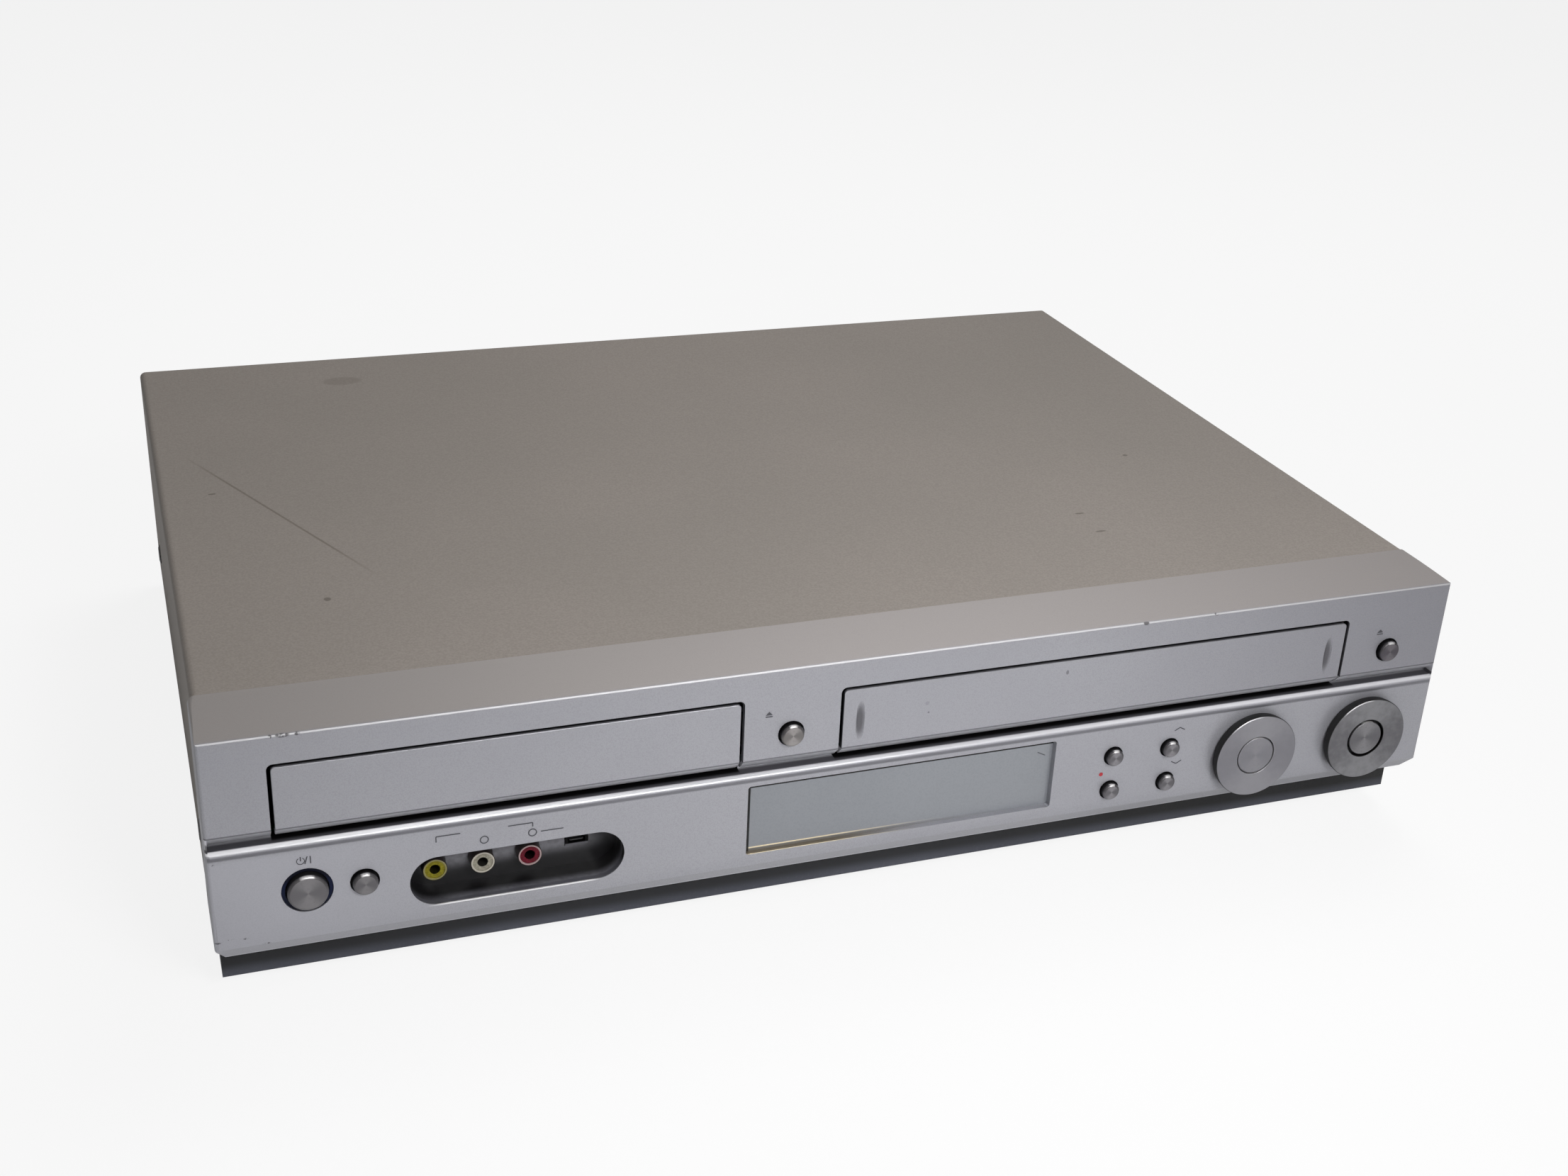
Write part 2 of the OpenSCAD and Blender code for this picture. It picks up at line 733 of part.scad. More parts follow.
module tray_door() {
  clip_half = 50;
  color([0.72, 0.73, 0.76]) placed() {
    door_panel(disc_bay_x0 + door_gap, disc_bay_x1 - door_gap);
    for (x = [-clip_half, clip_half])
      block([disc_x + x - 4, door_t - eps, tray_z + 0.8], [disc_x + x + 4, door_t + 6, tray_z + 3]);
  }
}

// Shallow upright groove that runs to a point at both ends, as a disc-shaped cutter leaves it
module finger_groove(x, z) {
  half_len = 7.6;
  depth = 0.9;
  half_w = 1.5;
  cutter_r = (half_len * half_len + depth * depth) / (2 * depth);
  tip_r = (half_w * half_w + depth * depth) / (2 * depth);
  translate([x, depth - cutter_r, z]) rotate([0, 90, 0]) rotate([0, 0, 60])
    rotate_extrude(angle = 60, $fn = 180) translate([cutter_r - tip_r, 0]) circle(tip_r, $fn = 32);
}

module cassette_flap() {
  x0 = tape_bay_x0 + door_gap;
  x1 = tape_bay_x1 - door_gap;
  arm_t = 3;
  dent_in = 5.9;
  color([0.72, 0.73, 0.76]) placed() {
    difference() {
      door_panel(x0, x1);
      for (x = [x0 + dent_in, x1 - dent_in])
        finger_groove(x, (crease_z + door_top) / 2 - 1.1);
    }
    for (x = [x0, x1 - arm_t])
      difference() {
        union() {
          block([x, door_t + 0.4, door_top - 2], [x + arm_t, flap_pivot_y + 1.9, -flap_pivot_z]);
          block([x, door_t - eps, door_top - 8], [x + arm_t, flap_pivot_y + 1.9, door_top - 2]);
          rod_x(flap_pivot_y, -flap_pivot_z, 2, x, x + arm_t);
        }
        rod_x(flap_pivot_y, -flap_pivot_z, flap_pin_r - 0.4, x - 1, x + arm_t + 1);
      }
    rod_x(flap_pivot_y, -flap_pivot_z, flap_pin_r, tape_bay_x0 - 4, x0 + arm_t + 5);
    rod_x(flap_pivot_y, -flap_pivot_z, flap_pin_r, x1 - arm_t, tape_bay_x1 + 4);
  }
}

module flap_spring() {
  wire = 0.35;
  x0 = tape_bay_x0 + door_gap + 3.4;
  coil_r = flap_pin_r + 0.3 + wire;
  color([0.70, 0.70, 0.72]) placed() {
    for (i = [0:4])
      translate([x0 + i * 2 * wire, flap_pivot_y, -flap_pivot_z]) rotate([0, 90, 0])
        rotate_extrude() translate([coil_r, 0]) circle(wire, $fn = 16);
    rod_y(x0 + 8 * wire, -flap_pivot_z + coil_r, wire, flap_pivot_y, flap_pivot_y + 6);
  }
}

// ---- display ------------------------------------------------------------------------

module display_window() {
  rim = 1.7;
  color([0.36, 0.40, 0.38, 0.85]) placed()
    backwards(bezel_wall, bezel_wall + window_t) translate([opening_x, -window_down])
      round_rect(opening_w + 2 * rim, window_h + 2 * rim, 1);
}

module display_module() {
  margin = 4;
  glass_y = bezel_wall + window_t + 1.2;
  color([0.10, 0.14, 0.14]) placed() {
    block([opening_x - opening_w / 2 + margin, glass_y, -window_down - window_h / 2 + margin],
          [opening_x + opening_w / 2 - margin, glass_y + 5, -window_down + window_h / 2 - margin]);
    for (i = [0:11])
      rod_y(opening_x + (i - 5.5) * (opening_w / 12 - 1.7), -window_down - window_h / 2 + margin + 1, 0.4,
            glass_y + 4, board_y);
  }
}

// ---- front jacks --------------------------------------------------------------------

module recess_outline(clearance) {
  reach = recess_w / 2 - recess_h / 2;
  slot_outline([recess_x - reach, -recess_down], [recess_x + reach, -recess_down],
               recess_h / 2 + clearance);
}

// Places of the three jacks, from the left end of the recess
jack_x = [for (i = [0:2]) recess_x - recess_w / 2 + recess_h / 2 + 0.1 + i * jack_pitch];

module jack_recess() {
  flange = 1.2;
  socket_x = recess_x + recess_w / 2 - 13.1;
  color([0.30, 0.31, 0.34]) placed() difference() {
    union() {
      backwards(bezel_wall, recess_d + flange) recess_outline(1);
      backwards(bezel_wall, bezel_wall + flange) recess_outline(2.4);
    }
    backwards(-1, recess_d) recess_outline(0);
    for (x = jack_x)
      rod_y(x, -recess_down, jack_dia / 2 + 0.1, recess_d - 1, recess_d + flange + 1);
    block([socket_x - 3.9, recess_d - 1, -recess_down - 1.5],
          [socket_x + 3.9, recess_d + flange + 1, -recess_down + 2.5]);
  }
}

module front_jacks() {
  color([0.86, 0.84, 0.76]) placed()
    for (x = jack_x)
      difference() {
        turned_back(x, -recess_down) polygon([
          [0, recess_d - jack_proud], [jack_dia / 2 - 0.3, recess_d - jack_proud],
          [jack_dia / 2, recess_d - jack_proud + 0.3], [jack_dia / 2, board_y], [0, board_y]
        ]);
        rod_y(x, -recess_down, jack_bore / 2, recess_d - jack_proud - 1, recess_d + 1.5);
      }
}

module camera_socket() {
  x = recess_x + recess_w / 2 - 13.1;
  color([0.07, 0.07, 0.08]) placed() difference() {
    block([x - 3.75, recess_d - 0.4, -recess_down - 1.4], [x + 3.75, board_y, -recess_down + 2.4]);
    block([x - 2.8, recess_d - 1, -recess_down - 0.5], [x + 2.8, board_y - 1, -recess_down + 1.5]);
  }
}

// ---- buttons ------------------------------------------------------------------------

// Push button: turned cap, stop collar behind the face and a stem to its switch
module push_button(x, down, cap_dia, hole_dia) {
  r = cap_dia / 2;
  collar_r = hole_dia / 2 + 1.2;
  shoulder = 0.9;
  color([0.78, 0.78, 0.80]) placed() turned_back(x, -down) polygon(concat(
    [[0, -cap_proud + 0.15]],
    [for (a = [90:-15:0]) [r - shoulder + shoulder * cos(a), -cap_proud + shoulder - shoulder * sin(a)]],
    [[r, bezel_wall], [collar_r, bezel_wall], [collar_r, bezel_wall + 1],
     [1.6, bezel_wall + 1], [1.6, stem_end], [0, stem_end]]
  ));
}

module power_ring() {
  r = power_hole_dia / 2;
  inner = power_cap_dia / 2 + 0.4;
  color([0.10, 0.16, 0.42]) placed() turned_back(power_x, -power_down) polygon([
    [inner, 0.3], [r - 0.15, 0.3], [r - 0.15, bezel_wall], [r + 2.6, bezel_wall],
    [r + 2.6, bezel_wall + 3.4], [r + 1.6, bezel_wall + 3.4], [r + 1.6, bezel_wall + 1], [inner, bezel_wall + 1]
  ]);
}

module power_button() {
  r = power_cap_dia / 2;
  shoulder = 1.1;
  rest_y = bezel_wall + 1;
  color([0.78, 0.78, 0.80]) placed() turned_back(power_x, -power_down) polygon(concat(
    [[0, -cap_proud + 0.15]],
    [for (a = [90:-15:0]) [r - shoulder + shoulder * cos(a), -cap_proud + shoulder - shoulder * sin(a)]],
    [[r, rest_y], [r + 1.4, rest_y], [r + 1.4, rest_y + 1],
     [1.6, rest_y + 1], [1.6, stem_end], [0, stem_end]]
  ));
}

module scan_button() {
  push_button(scan_x, power_down, mid_cap_dia, mid_hole_dia);
}

module tray_button() {
  push_button(tray_button_x, tray_button_down, mid_cap_dia, mid_hole_dia);
}

module eject_button() {
  push_button(eject_x, tray_button_down, mid_cap_dia, mid_hole_dia);
}

module small_button(column, row) {
  push_button(small_x + column * small_pitch_x, small_down + row * small_pitch_z,
              small_cap_dia, small_hole_dia);
}

module source_button() {
  small_button(0, 0);
}

module record_button() {
  small_button(0, 1);
}

module channel_up_button() {
  small_button(1, 0);
}

module channel_down_button() {
  small_button(1, 1);
}

// ---- control discs ------------------------------------------------------------------

// Disc with a round rim and a tube that reaches back through the face
module control_disc(x, tube_in_r) {
  r = disc_dia / 2;
  rim = 1.1;
  turned_back(x, -disc_down) polygon(concat(
    [[disc_bore_dia / 2, -disc_proud + 0.5], [r - 3, -disc_proud + 0.5]],
    [for (a = [90:-15:0]) [r - rim + rim * cos(a), -disc_proud + rim - rim * sin(a)]],
    [[r - 0.4, -disc_gap], [disc_tube_r, -disc_gap], [disc_tube_r, tilt_y + 2],
     [tube_in_r, tilt_y + 2], [tube_in_r, -disc_gap - 1.4], [disc_bore_dia / 2, -disc_gap - 1.4]]
  ));
}

module jog_disc() {
  pin_end = disc_tube_r + 3;
  color([0.74, 0.74, 0.76]) placed() {
    control_disc(jog_x, disc_tube_r - 1.2);
    for (i = [0, 1])
      translate([jog_x, tilt_y, -disc_down]) rotate([i * 180, 0, 0])
        rod_z(0, 0, rocker_pin_r, disc_tube_r - 0.6, pin_end);
  }
}

// Centre button of a disc: cap, collar behind the disc's lip, stem
module centre_button(x, cap_dia, dish) {
  r = cap_dia / 2;
  front = -disc_proud + 0.5;
  seat = -disc_gap - 0.9;
  collar_r = disc_tube_r - 1.6;
  turned_back(x, -disc_down) polygon([
    [0, front + dish], [r * 0.7, front + dish * 0.6], [r - 0.4, front], [r, front + 0.4],
    [r, seat], [collar_r, seat], [collar_r, seat + 1.2],
    [1.6, seat + 1.2], [1.6, stem_end], [0, stem_end]
  ]);
}

module jog_button() {
  color([0.74, 0.74, 0.76]) placed() centre_button(jog_x, jog_cap_dia, 0);
}

module menu_ring() {
  color([0.74, 0.74, 0.76]) placed() {
    control_disc(menu_x, disc_tube_r - 1.2);
    for (i = [0, 1])
      translate([menu_x, tilt_y, -disc_down]) rotate([0, i * 180, 0])
        rod_x(0, 0, rocker_pin_r, disc_tube_r - 0.6, gimbal_out_r - 0.2);
  }
}

// Ring that lets the menu ring rock both ways: it turns on upright pins in the moulding
// and carries the menu ring's level pins in two bores
module menu_gimbal() {
  pin_end = gimbal_out_r + 3.2;
  half_t = 1.5;
  color([0.82, 0.82, 0.80]) placed() difference() {
    union() {
      translate([menu_x, tilt_y - half_t, -disc_down]) rotate([-90, 0, 0]) rotate_extrude()
        translate([gimbal_in_r, 0]) square([gimbal_out_r - gimbal_in_r, 2 * half_t]);
      for (i = [0, 1])
        translate([menu_x, tilt_y, -disc_down]) rotate([i * 180, 0, 0])
          rod_z(0, 0, rocker_pin_r, gimbal_out_r - 0.6, pin_end);
    }
    rod_x(tilt_y, -disc_down, rocker_pin_r + run_fit, menu_x - 20, menu_x + 20);
  }
}

module menu_button() {
  color([0.78, 0.78, 0.80]) placed() centre_button(menu_x, menu_cap_dia, 0.5);
}

// Tact switch on the board behind x, down
module switch(x, down) {
  block([x - 3, board_y - switch_h, -down - 3], [x + 3, board_y + eps, -down + 3]);
  rod_y(x, -down, 1.7, plunger_y, board_y - switch_h + eps);
}

module switch_boards() {
  z0 = skirt_z + bezel_wall + 0.6;
  low_top = cavity_top - 0.5;
  color([0.16, 0.34, 0.20]) placed() {
    block([-half_w + 14, board_y, z0], [half_w - 8, board_y + board_t, low_top]);
    for (x = [-half_w + 24, 0, half_w - 18])
      block([x - 4, board_y - 2, skirt_z + bezel_wall], [x + 4, board_y + board_t, z0 + 2]);
    for (x = [power_x, scan_x])
      switch(x, power_down);
    for (c = [0, 1], r = [0, 1])
      switch(small_x + c * small_pitch_x, small_down + r * small_pitch_z);
    for (x = [jog_x, menu_x])
      switch(x, disc_down);
    for (x = [tray_button_x, eject_x]) {
      block([x - 8, board_y, -tray_button_down - 7], [x + 8, board_y + board_t, -tray_button_down + 11]);
      switch(x, tray_button_down);
    }
  }
}

// ---- disc loader --------------------------------------------------------------------

module loader_frame() {
  x0 = disc_x - loader_w / 2;
  x1 = disc_x + loader_w / 2;
  wall = 2.5;
  leg_w = 9;
  lip = 3;
  guide_x = tray_w / 2 + slide_fit;
  color([0.20, 0.20, 0.22]) placed() {
    difference() {
      union() {
        block([x0, loader_y0, loader_base], [x0 + wall, loader_y1, loader_top]);
        block([x1 - wall, loader_y0, loader_base], [x1, loader_y1, loader_top]);
        block([x0, loader_y1 - wall, loader_base], [x1, loader_y1, loader_top]);
        block([x0, loader_y0, loader_base], [x1, loader_y1, loader_base + 2]);
        for (i = [-1, 1], z = [tray_floor - rail_gap - 1.6, tray_z + rail_gap])
          block([disc_x + i * (guide_x + (lip - 2) / 2) - (lip + 4) / 2, loader_y0, z],
                [disc_x + i * (guide_x + (lip - 2) / 2) + (lip + 4) / 2, loader_y1, z + 1.6]);
      }
      block([disc_x - 38, spindle_y - 26, loader_base - 1], [disc_x + 38, spindle_y + 98, loader_base + 3]);
      block([disc_x - tray_w / 2 - slide_fit, loader_y0 - 1, tray_floor - rail_gap],
            [disc_x + tray_w / 2 + slide_fit, loader_y1 - wall, tray_z + rail_gap]);
      rod_z(pinion_x, pinion_y, wheel_r + 3, loader_base + 2, tray_floor - rail_gap + eps);
      block([pinion_x - pinion_r - 4.5, loader_y0 - 1, tray_floor - 8],
            [pinion_x, loader_y1 - wall - 1, tray_floor - rail_gap + eps]);
    }
    for (x = [x0 + leg_w / 2, x1 - leg_w / 2], y = [bezel_d + 6, loader_y1 - 8])
      block([x - leg_w / 2, y - leg_w / 2, floor_z], [x + leg_w / 2, y + leg_w / 2, loader_base + 0.5]);
    rod_z(pinion_x, pinion_y, 2, loader_base + 1, tray_floor - 1);
    rod_z(pinion_x, pinion_y, 5, loader_base + 1, wheel_z0 - 0.3);
  }
}

module rack_tooth() {
  pitch = PI * gear_m;
  slope = tan(20);
  tip = pitch / 4 - 0.95 * gear_m * slope - backlash / 2;
  root = pitch / 4 + 1.2 * gear_m * slope - backlash / 2;
  polygon([
    [-1.2 * gear_m - 0.5, -root], [-1.2 * gear_m, -root], [0.95 * gear_m, -tip],
    [0.95 * gear_m, tip], [-1.2 * gear_m, root], [-1.2 * gear_m - 0.5, root]
  ]);
}

module disc_tray() {
  pitch = PI * gear_m;
  y1 = door_t + tray_len;
  front_wall = 3;
  first = ceil((door_t + 14 - pinion_y) / pitch);
  last = floor((y1 - 2 - pinion_y) / pitch) - 1;
  rib_x = rack_x - 1.2 * gear_m;
  color([0.13, 0.13, 0.14]) placed() translate([disc_x, 0, 0]) {
    difference() {
      union() {
        block([-tray_w / 2, door_t, tray_floor], [tray_w / 2, y1, tray_z]);
        block([-tray_w / 2, door_t, tray_floor - 3], [tray_w / 2, door_t + front_wall, tray_z + 0.8]);
      }
      rod_z(0, spindle_y, disc_seat_dia / 2, tray_z - 2.5, tray_z + 1);
      rod_z(0, spindle_y, 41, tray_z - 4, tray_z);
      upwards(tray_floor - 1, tray_z + 1)
        slot_outline([0, spindle_y], [0, y1 + 30], slot_half);
      for (i = [-1, 1])
        block([i * 46 - 10, spindle_y + 66, tray_floor + 2], [i * 46 + 10, y1 - 6, tray_z + 1]);
    }
    block([rib_x - 2, door_t + 12, tray_floor - 6], [rib_x, y1, tray_floor + eps]);
    upwards(tray_floor - 6, tray_floor + eps)
      for (k = [first:last])
        translate([rack_x, pinion_y + (k + 0.5) * pitch]) rack_tooth();
  }
}

module tray_gear() {
  color([0.90, 0.89, 0.84]) placed() translate([pinion_x, pinion_y, 0]) difference() {
    union() {
      upwards(pinion_z0, pinion_z1) polygon(gear_points(gear_m, pinion_n, backlash));
      upwards(wheel_z0, pinion_z0) polygon(gear_points(gear_m, wheel_n, backlash));
    }
    rod_z(0, 0, 2 + run_fit, wheel_z0 - 1, pinion_z1 + 1);
  }
}

module motor_gear() {
  color([0.90, 0.89, 0.84]) placed()
    translate([pinion_x + wheel_r + motor_r, pinion_y, 0]) difference() {
      rotate(180 / motor_n) upwards(wheel_z0, pinion_z0 + 0.8) polygon(gear_points(gear_m, motor_n, backlash));
      rod_z(0, 0, 1 + run_fit, wheel_z0 - 1, pinion_z0 + 2);
    }
}

module loading_motor() {
  color([0.62, 0.63, 0.65]) placed() {
    rod_z(pinion_x + wheel_r + motor_r, pinion_y, 5.5, loader_base + 2, wheel_z0 - 0.4);
    rod_z(pinion_x + wheel_r + motor_r, pinion_y, 1, wheel_z0 - 0.5, pinion_z0 + 0.6);
  }
}

module traverse_frame() {
  z0 = tray_floor - 12;
  y0 = spindle_y - 22;
  y1 = spindle_y + 94;
  half = 34;
  color([0.55, 0.56, 0.58]) placed() translate([disc_x, 0, 0]) {
    difference() {
      union() {
        block([-half, y0, z0], [half, y1, z0 + 2]);
        for (i = [-1, 1])
          block([i * half - 5, y0, z0], [i * half + 5, y1, z0 + 2]);
        for (i = [-1, 1], y = [spindle_y + 2, y1 - 5])
          block([i * rod_x - 3.5, y, z0], [i * rod_x + 3.5, y + 5, rod_z + 2.5]);
        for (i = [-1, 1], y = [y0, y1 - 8])
          block([i * (half + 1) - 4, y, loader_base + 2], [i * (half + 1) + 4, y + 8, z0 + eps]);
      }
      block([-rod_x + 4, spindle_y + 17, z0 - 1], [rod_x - 4, y1 - 6, z0 + 3]);
    }
    for (i = [-1, 1])
      rod_y(i * rod_x, rod_z, rod_r, spindle_y + 3, y1 - 1);
    rod_z(0, spindle_y, 13, z0 + 2 - eps, tray_floor - 1.5);
    rod_z(0, spindle_y, 1.5, tray_floor - 1.6, table_z);
  }
}

module turntable() {
  color([0.18, 0.18, 0.20]) placed() translate([disc_x, spindle_y, 0]) difference() {
    rotate_extrude() polygon([
      [0, tray_floor - 1.2], [6, tray_floor - 1.2], [6, table_z - 2], [14.5, table_z - 1.4],
      [14.5, table_z], [7.4, table_z], [7.4, table_z + 1], [5, table_z + 2.6], [0, table_z + 2.6]
    ]);
    rod_z(0, 0, 1.5 + run_fit, tray_floor - 2, table_z + run_fit);
  }
}

module pickup() {
  y0 = spindle_y + 14.5;
  y1 = spindle_y + 46;
  top = tray_floor - 2;
  color([0.40, 0.41, 0.44]) placed() translate([disc_x, 0, 0]) difference() {
    union() {
      block([-rod_x + 6, y0, rod_z - 2.6], [rod_x - 6, y1, top]);
      for (i = [-1, 1], y = [y0 + 1, y1 - 7])
        block([i * (rod_x - 2) - 5, y, rod_z - 2.6], [i * (rod_x - 2) + 5, y + 6, rod_z + 2.6]);
      rod_z(0, y0 + 9, 4, top - eps, top + 2.6);
    }
    for (i = [-1, 1])
      rod_y(i * rod_x, rod_z, rod_r + run_fit, y0 - 1, y1 + 1);
  }
}

module clamp_bridge() {
  color([0.60, 0.61, 0.63]) placed() difference() {
    block([disc_x - loader_w / 2, spindle_y - 19, loader_top],
          [disc_x + loader_w / 2, spindle_y + 19, loader_top + 1.2]);
    rod_z(disc_x, spindle_y, 10, loader_top - 1, loader_top + 3);
  }
}

module disc_clamper() {
  seat = loader_top + 1.2;
  color([0.85, 0.85, 0.82]) placed() translate([disc_x, spindle_y, 0]) rotate_extrude() polygon([
    [0, tray_z + 1.4], [13, tray_z + 1.4], [14, tray_z + 2.4], [14, tray_z + 3.6],
    [9, tray_z + 3.6], [9, seat + 0.05], [12, seat + 0.05], [12, seat + 1.2], [0, seat + 1.2]
  ]);
}

// ---- tape deck ----------------------------------------------------------------------

// Points along the path of a tape guide in plan; side is -1 or 1
function guide_point(side, p) = [side * p[0], p[1]];

module deck_chassis() {
  half = housing_x + housing_t + 1;
  y1 = deck_y0 + deck_len;
  leg_r = 4;
  color([0.66, 0.67, 0.68]) placed() translate([tape_x, 0, 0]) {
    difference() {
      union() {
        block([-half, deck_y0, deck_z - deck_t], [half, y1, deck_z]);
        for (i = [-1, 1], y = [deck_y0 + 6, y1 - 6])
          rod_z(i * (half - 6), y, leg_r, floor_z, deck_z - deck_t + eps);
        for (y = [deck_y0, y1 - 1.5])
          block([-half, y, deck_z - 7], [half, y + 1.5, deck_z - deck_t + eps]);
      }
      rod_z(0, drum_y, drum_dia / 2 + 5, deck_z - 12, deck_z + 1);
      for (s = [-1, 1])
        upwards(deck_z - deck_t - 1, deck_z + 1)
          slot_outline(guide_point(s, guide_start), guide_point(s, guide_end), 2.6);
      rod_z(capstan_x, capstan_y, capstan_r + run_fit, deck_z - 3, deck_z + 1);
    }
    for (i = [-1, 1])
      rod_z(i * reel_x, reel_y, 1.5, deck_z - eps, deck_z + 14);
    rod_z(pinch_pivot[0], pinch_pivot[1], 2, deck_z - eps, deck_z + 24);
    for (i = [-1, 1])
      block([i * 35 - 6, drum_y + 8, deck_z - 7], [i * 35 + 6, drum_y + 14, deck_z - deck_t + eps]);
  }
}

// Path of the carrier pins: straight back, then down
module carrier_track(r) {
  back = carrier_pin_y + carrier_travel;
  slot_outline([carrier_pin_y, carrier_pin_z], [back, carrier_pin_z], r);
  slot_outline([back, carrier_pin_z], [back, carrier_pin_z - 21], r);
}

module lift_housing() {
  top = -5;
  y0 = carrier_y - 2;
  y1 = carrier_y + carrier_len + carrier_travel + 12;
  color([0.63, 0.64, 0.66]) placed() translate([tape_x, 0, 0]) {
    for (s = [-1, 1])
      difference() {
        union() {
          across(s * (housing_x + housing_t / 2) - housing_t / 2, s * (housing_x + housing_t / 2) + housing_t / 2)
            translate([y0, deck_z]) square([y1 - y0, top - deck_z]);
          block([s * (housing_x - 2) - 3, y1 - 20, top - housing_t], [s * (housing_x - 2) + 3, y1, top]);
        }
        across(s * housing_x - 4, s * housing_x + 4) carrier_track(carrier_pin_r + slide_fit);
      }
    block([-housing_x - housing_t, y1 - 14, top - housing_t], [housing_x + housing_t, y1, top]);
  }
}

module cassette_carrier() {
  y1 = carrier_y + carrier_len;
  roof = carrier_z + cassette_h + 0.4;
  t = carrier_sheet;
  color([0.70, 0.71, 0.72]) placed() translate([tape_x, 0, 0]) {
    difference() {
      block([-carrier_x, carrier_y, carrier_z - t], [carrier_x, y1, roof + t]);
      block([-carrier_x + t, carrier_y - 1, carrier_z], [carrier_x - t, y1 + 1, roof]);
      block([-carrier_x + 26, carrier_y - 1, roof - 1], [carrier_x - 26, y1 - 16, roof + t + 1]);
      for (i = [-1, 1])
        block([i * reel_x - 17, carrier_y + 24, carrier_z - t - 1], [i * reel_x + 17, y1 - 18, carrier_z + 1]);
    }
    for (s = [0, 1])
      translate([0, carrier_pin_y, carrier_pin_z]) rotate([0, 0, s * 180])
        rod_x(0, 0, carrier_pin_r, carrier_x - t / 2, housing_x + housing_t + 0.8);
  }
}

module on_drum() {
  translate([tape_x, drum_y, deck_z]) rotate([drum_tilt, 0, 0]) children();
}

module drum_base() {
  r = drum_dia / 2;
  color([0.78, 0.79, 0.80]) placed() {
    on_drum() difference() {
      union() {
        rod_z(0, 0, r, -2, 13);
        rod_z(0, 0, 22, -10, -1.9);
        rod_z(0, 0, 3, 12.9, 26);
      }
      rod_z(0, 0, 1, 25, 27);
    }
    translate([tape_x, drum_y, 0]) for (i = [-1, 1])
      block([i * 24 - 12, 8, deck_z - 13], [i * 24 + 12, 14, deck_z - 7]);
  }
}

module head_drum() {
  r = drum_dia / 2;
  color([0.86, 0.87, 0.88]) placed() on_drum() difference() {
    rotate_extrude() polygon([
      [0, 13.3], [r, 13.3], [r, 23], [r - 1, 24], [12, 24], [12, 28], [0, 28]
    ]);
    rod_z(0, 0, 3 + run_fit, 13, 26 + run_fit);
  }
}

// Reel table with six drive splines
module reel_table(side) {
  color([0.15, 0.15, 0.16]) placed()
    translate([tape_x + side * reel_x, reel_y, deck_z]) difference() {
      union() {
        rod_z(0, 0, 19, 0.4, 4);
        rod_z(0, 0, 9, 3.9, 7);
        rod_z(0, 0, 6.5, 6.9, 15.5);
        for (i = [0:5])
          rotate(i * 60) block([6, -1, 6.9], [9, 1, 14]);
      }
      rod_z(0, 0, 1.5 + run_fit, 0, 14 + run_fit);
    }
}

module supply_reel() {
  reel_table(-1);
}

module takeup_reel() {
  reel_table(1);
}

module capstan() {
  color([0.80, 0.80, 0.82]) placed() translate([tape_x + capstan_x, capstan_y, deck_z]) {
    rod_z(0, 0, capstan_r, -16, 30);
    rotate_extrude() polygon([
      [0, -15.5], [flywheel_r, -15.5], [flywheel_r, -11], [flywheel_r - 2, -10], [6, -10],
      [6, -deck_t - 0.4], [0, -deck_t - 0.4]
    ]);
  }
}

// Centre of the pinch roller at rest
pinch_centre = pinch_pivot + pinch_arm_len * [cos(pinch_rest_angle), sin(pinch_rest_angle)];

module pinch_arm() {
  color([0.70, 0.70, 0.72]) placed() translate([tape_x, 0, deck_z]) difference() {
    union() {
      upwards(19, 21) translate(pinch_pivot) rotate(pinch_rest_angle)
        translate([0, -3]) square([pinch_arm_len, 6]);
      rod_z(pinch_centre[0], pinch_centre[1], 4.5, 19, 21);
      rod_z(pinch_pivot[0], pinch_pivot[1], 4.5, 0.4, 21);
      rod_z(pinch_centre[0], pinch_centre[1], 1.5, 3, 20);
    }
    rod_z(pinch_pivot[0], pinch_pivot[1], 2 + run_fit, -1, 25);
  }
}

module pinch_roller() {
  color([0.08, 0.08, 0.08]) placed()
    translate([tape_x + pinch_centre[0], pinch_centre[1], deck_z]) difference() {
      rod_z(0, 0, pinch_roller_r, 4, 18.6);
      rod_z(0, 0, 1.5 + run_fit, 3, 20);
    }
}

// Guide roller on its base block, which runs in a slot of the deck
module tape_guide(side) {
  p = guide_point(side, guide_start);
  color([0.75, 0.75, 0.77]) placed() translate([tape_x + p[0], p[1], deck_z]) {
    rod_z(0, 0, 6.5, 0.3, 3);
    rod_z(0, 0, 2.2, -deck_t - 0.4, 0.4);
    rod_z(0, 0, 5.5, -deck_t - 3, -deck_t - 0.3);
    rod_z(0, 0, 1.6, 2.9, 22);
    rod_z(0, 0, 3.8, 5, 20);
  }
}

module left_tape_guide() {
  tape_guide(-1);
}

module right_tape_guide() {
  tape_guide(1);
}

module tape_heads() {
  color([0.58, 0.58, 0.60]) placed() translate([tape_x, 0, deck_z]) {
    for (p = [[-58, 212], [56, 214]]) {
      block([p[0] - 4, p[1] - 3, 2], [p[0] + 4, p[1] + 3, 20]);
      block([p[0] - 7, p[1] - 6, 0], [p[0] + 7, p[1] + 6, 2.1]);
    }
    block([-88, 190, 0], [-66, 214, 20]);
    rod_y(-77, 10, 8, 213, 236);
  }
}

// ---- boards and back ----------------------------------------------------------------

module standoffs(spots) {
  for (s = spots)
    rod_z(s[0], s[1], 2.5, floor_z, low_board_z + eps);
}

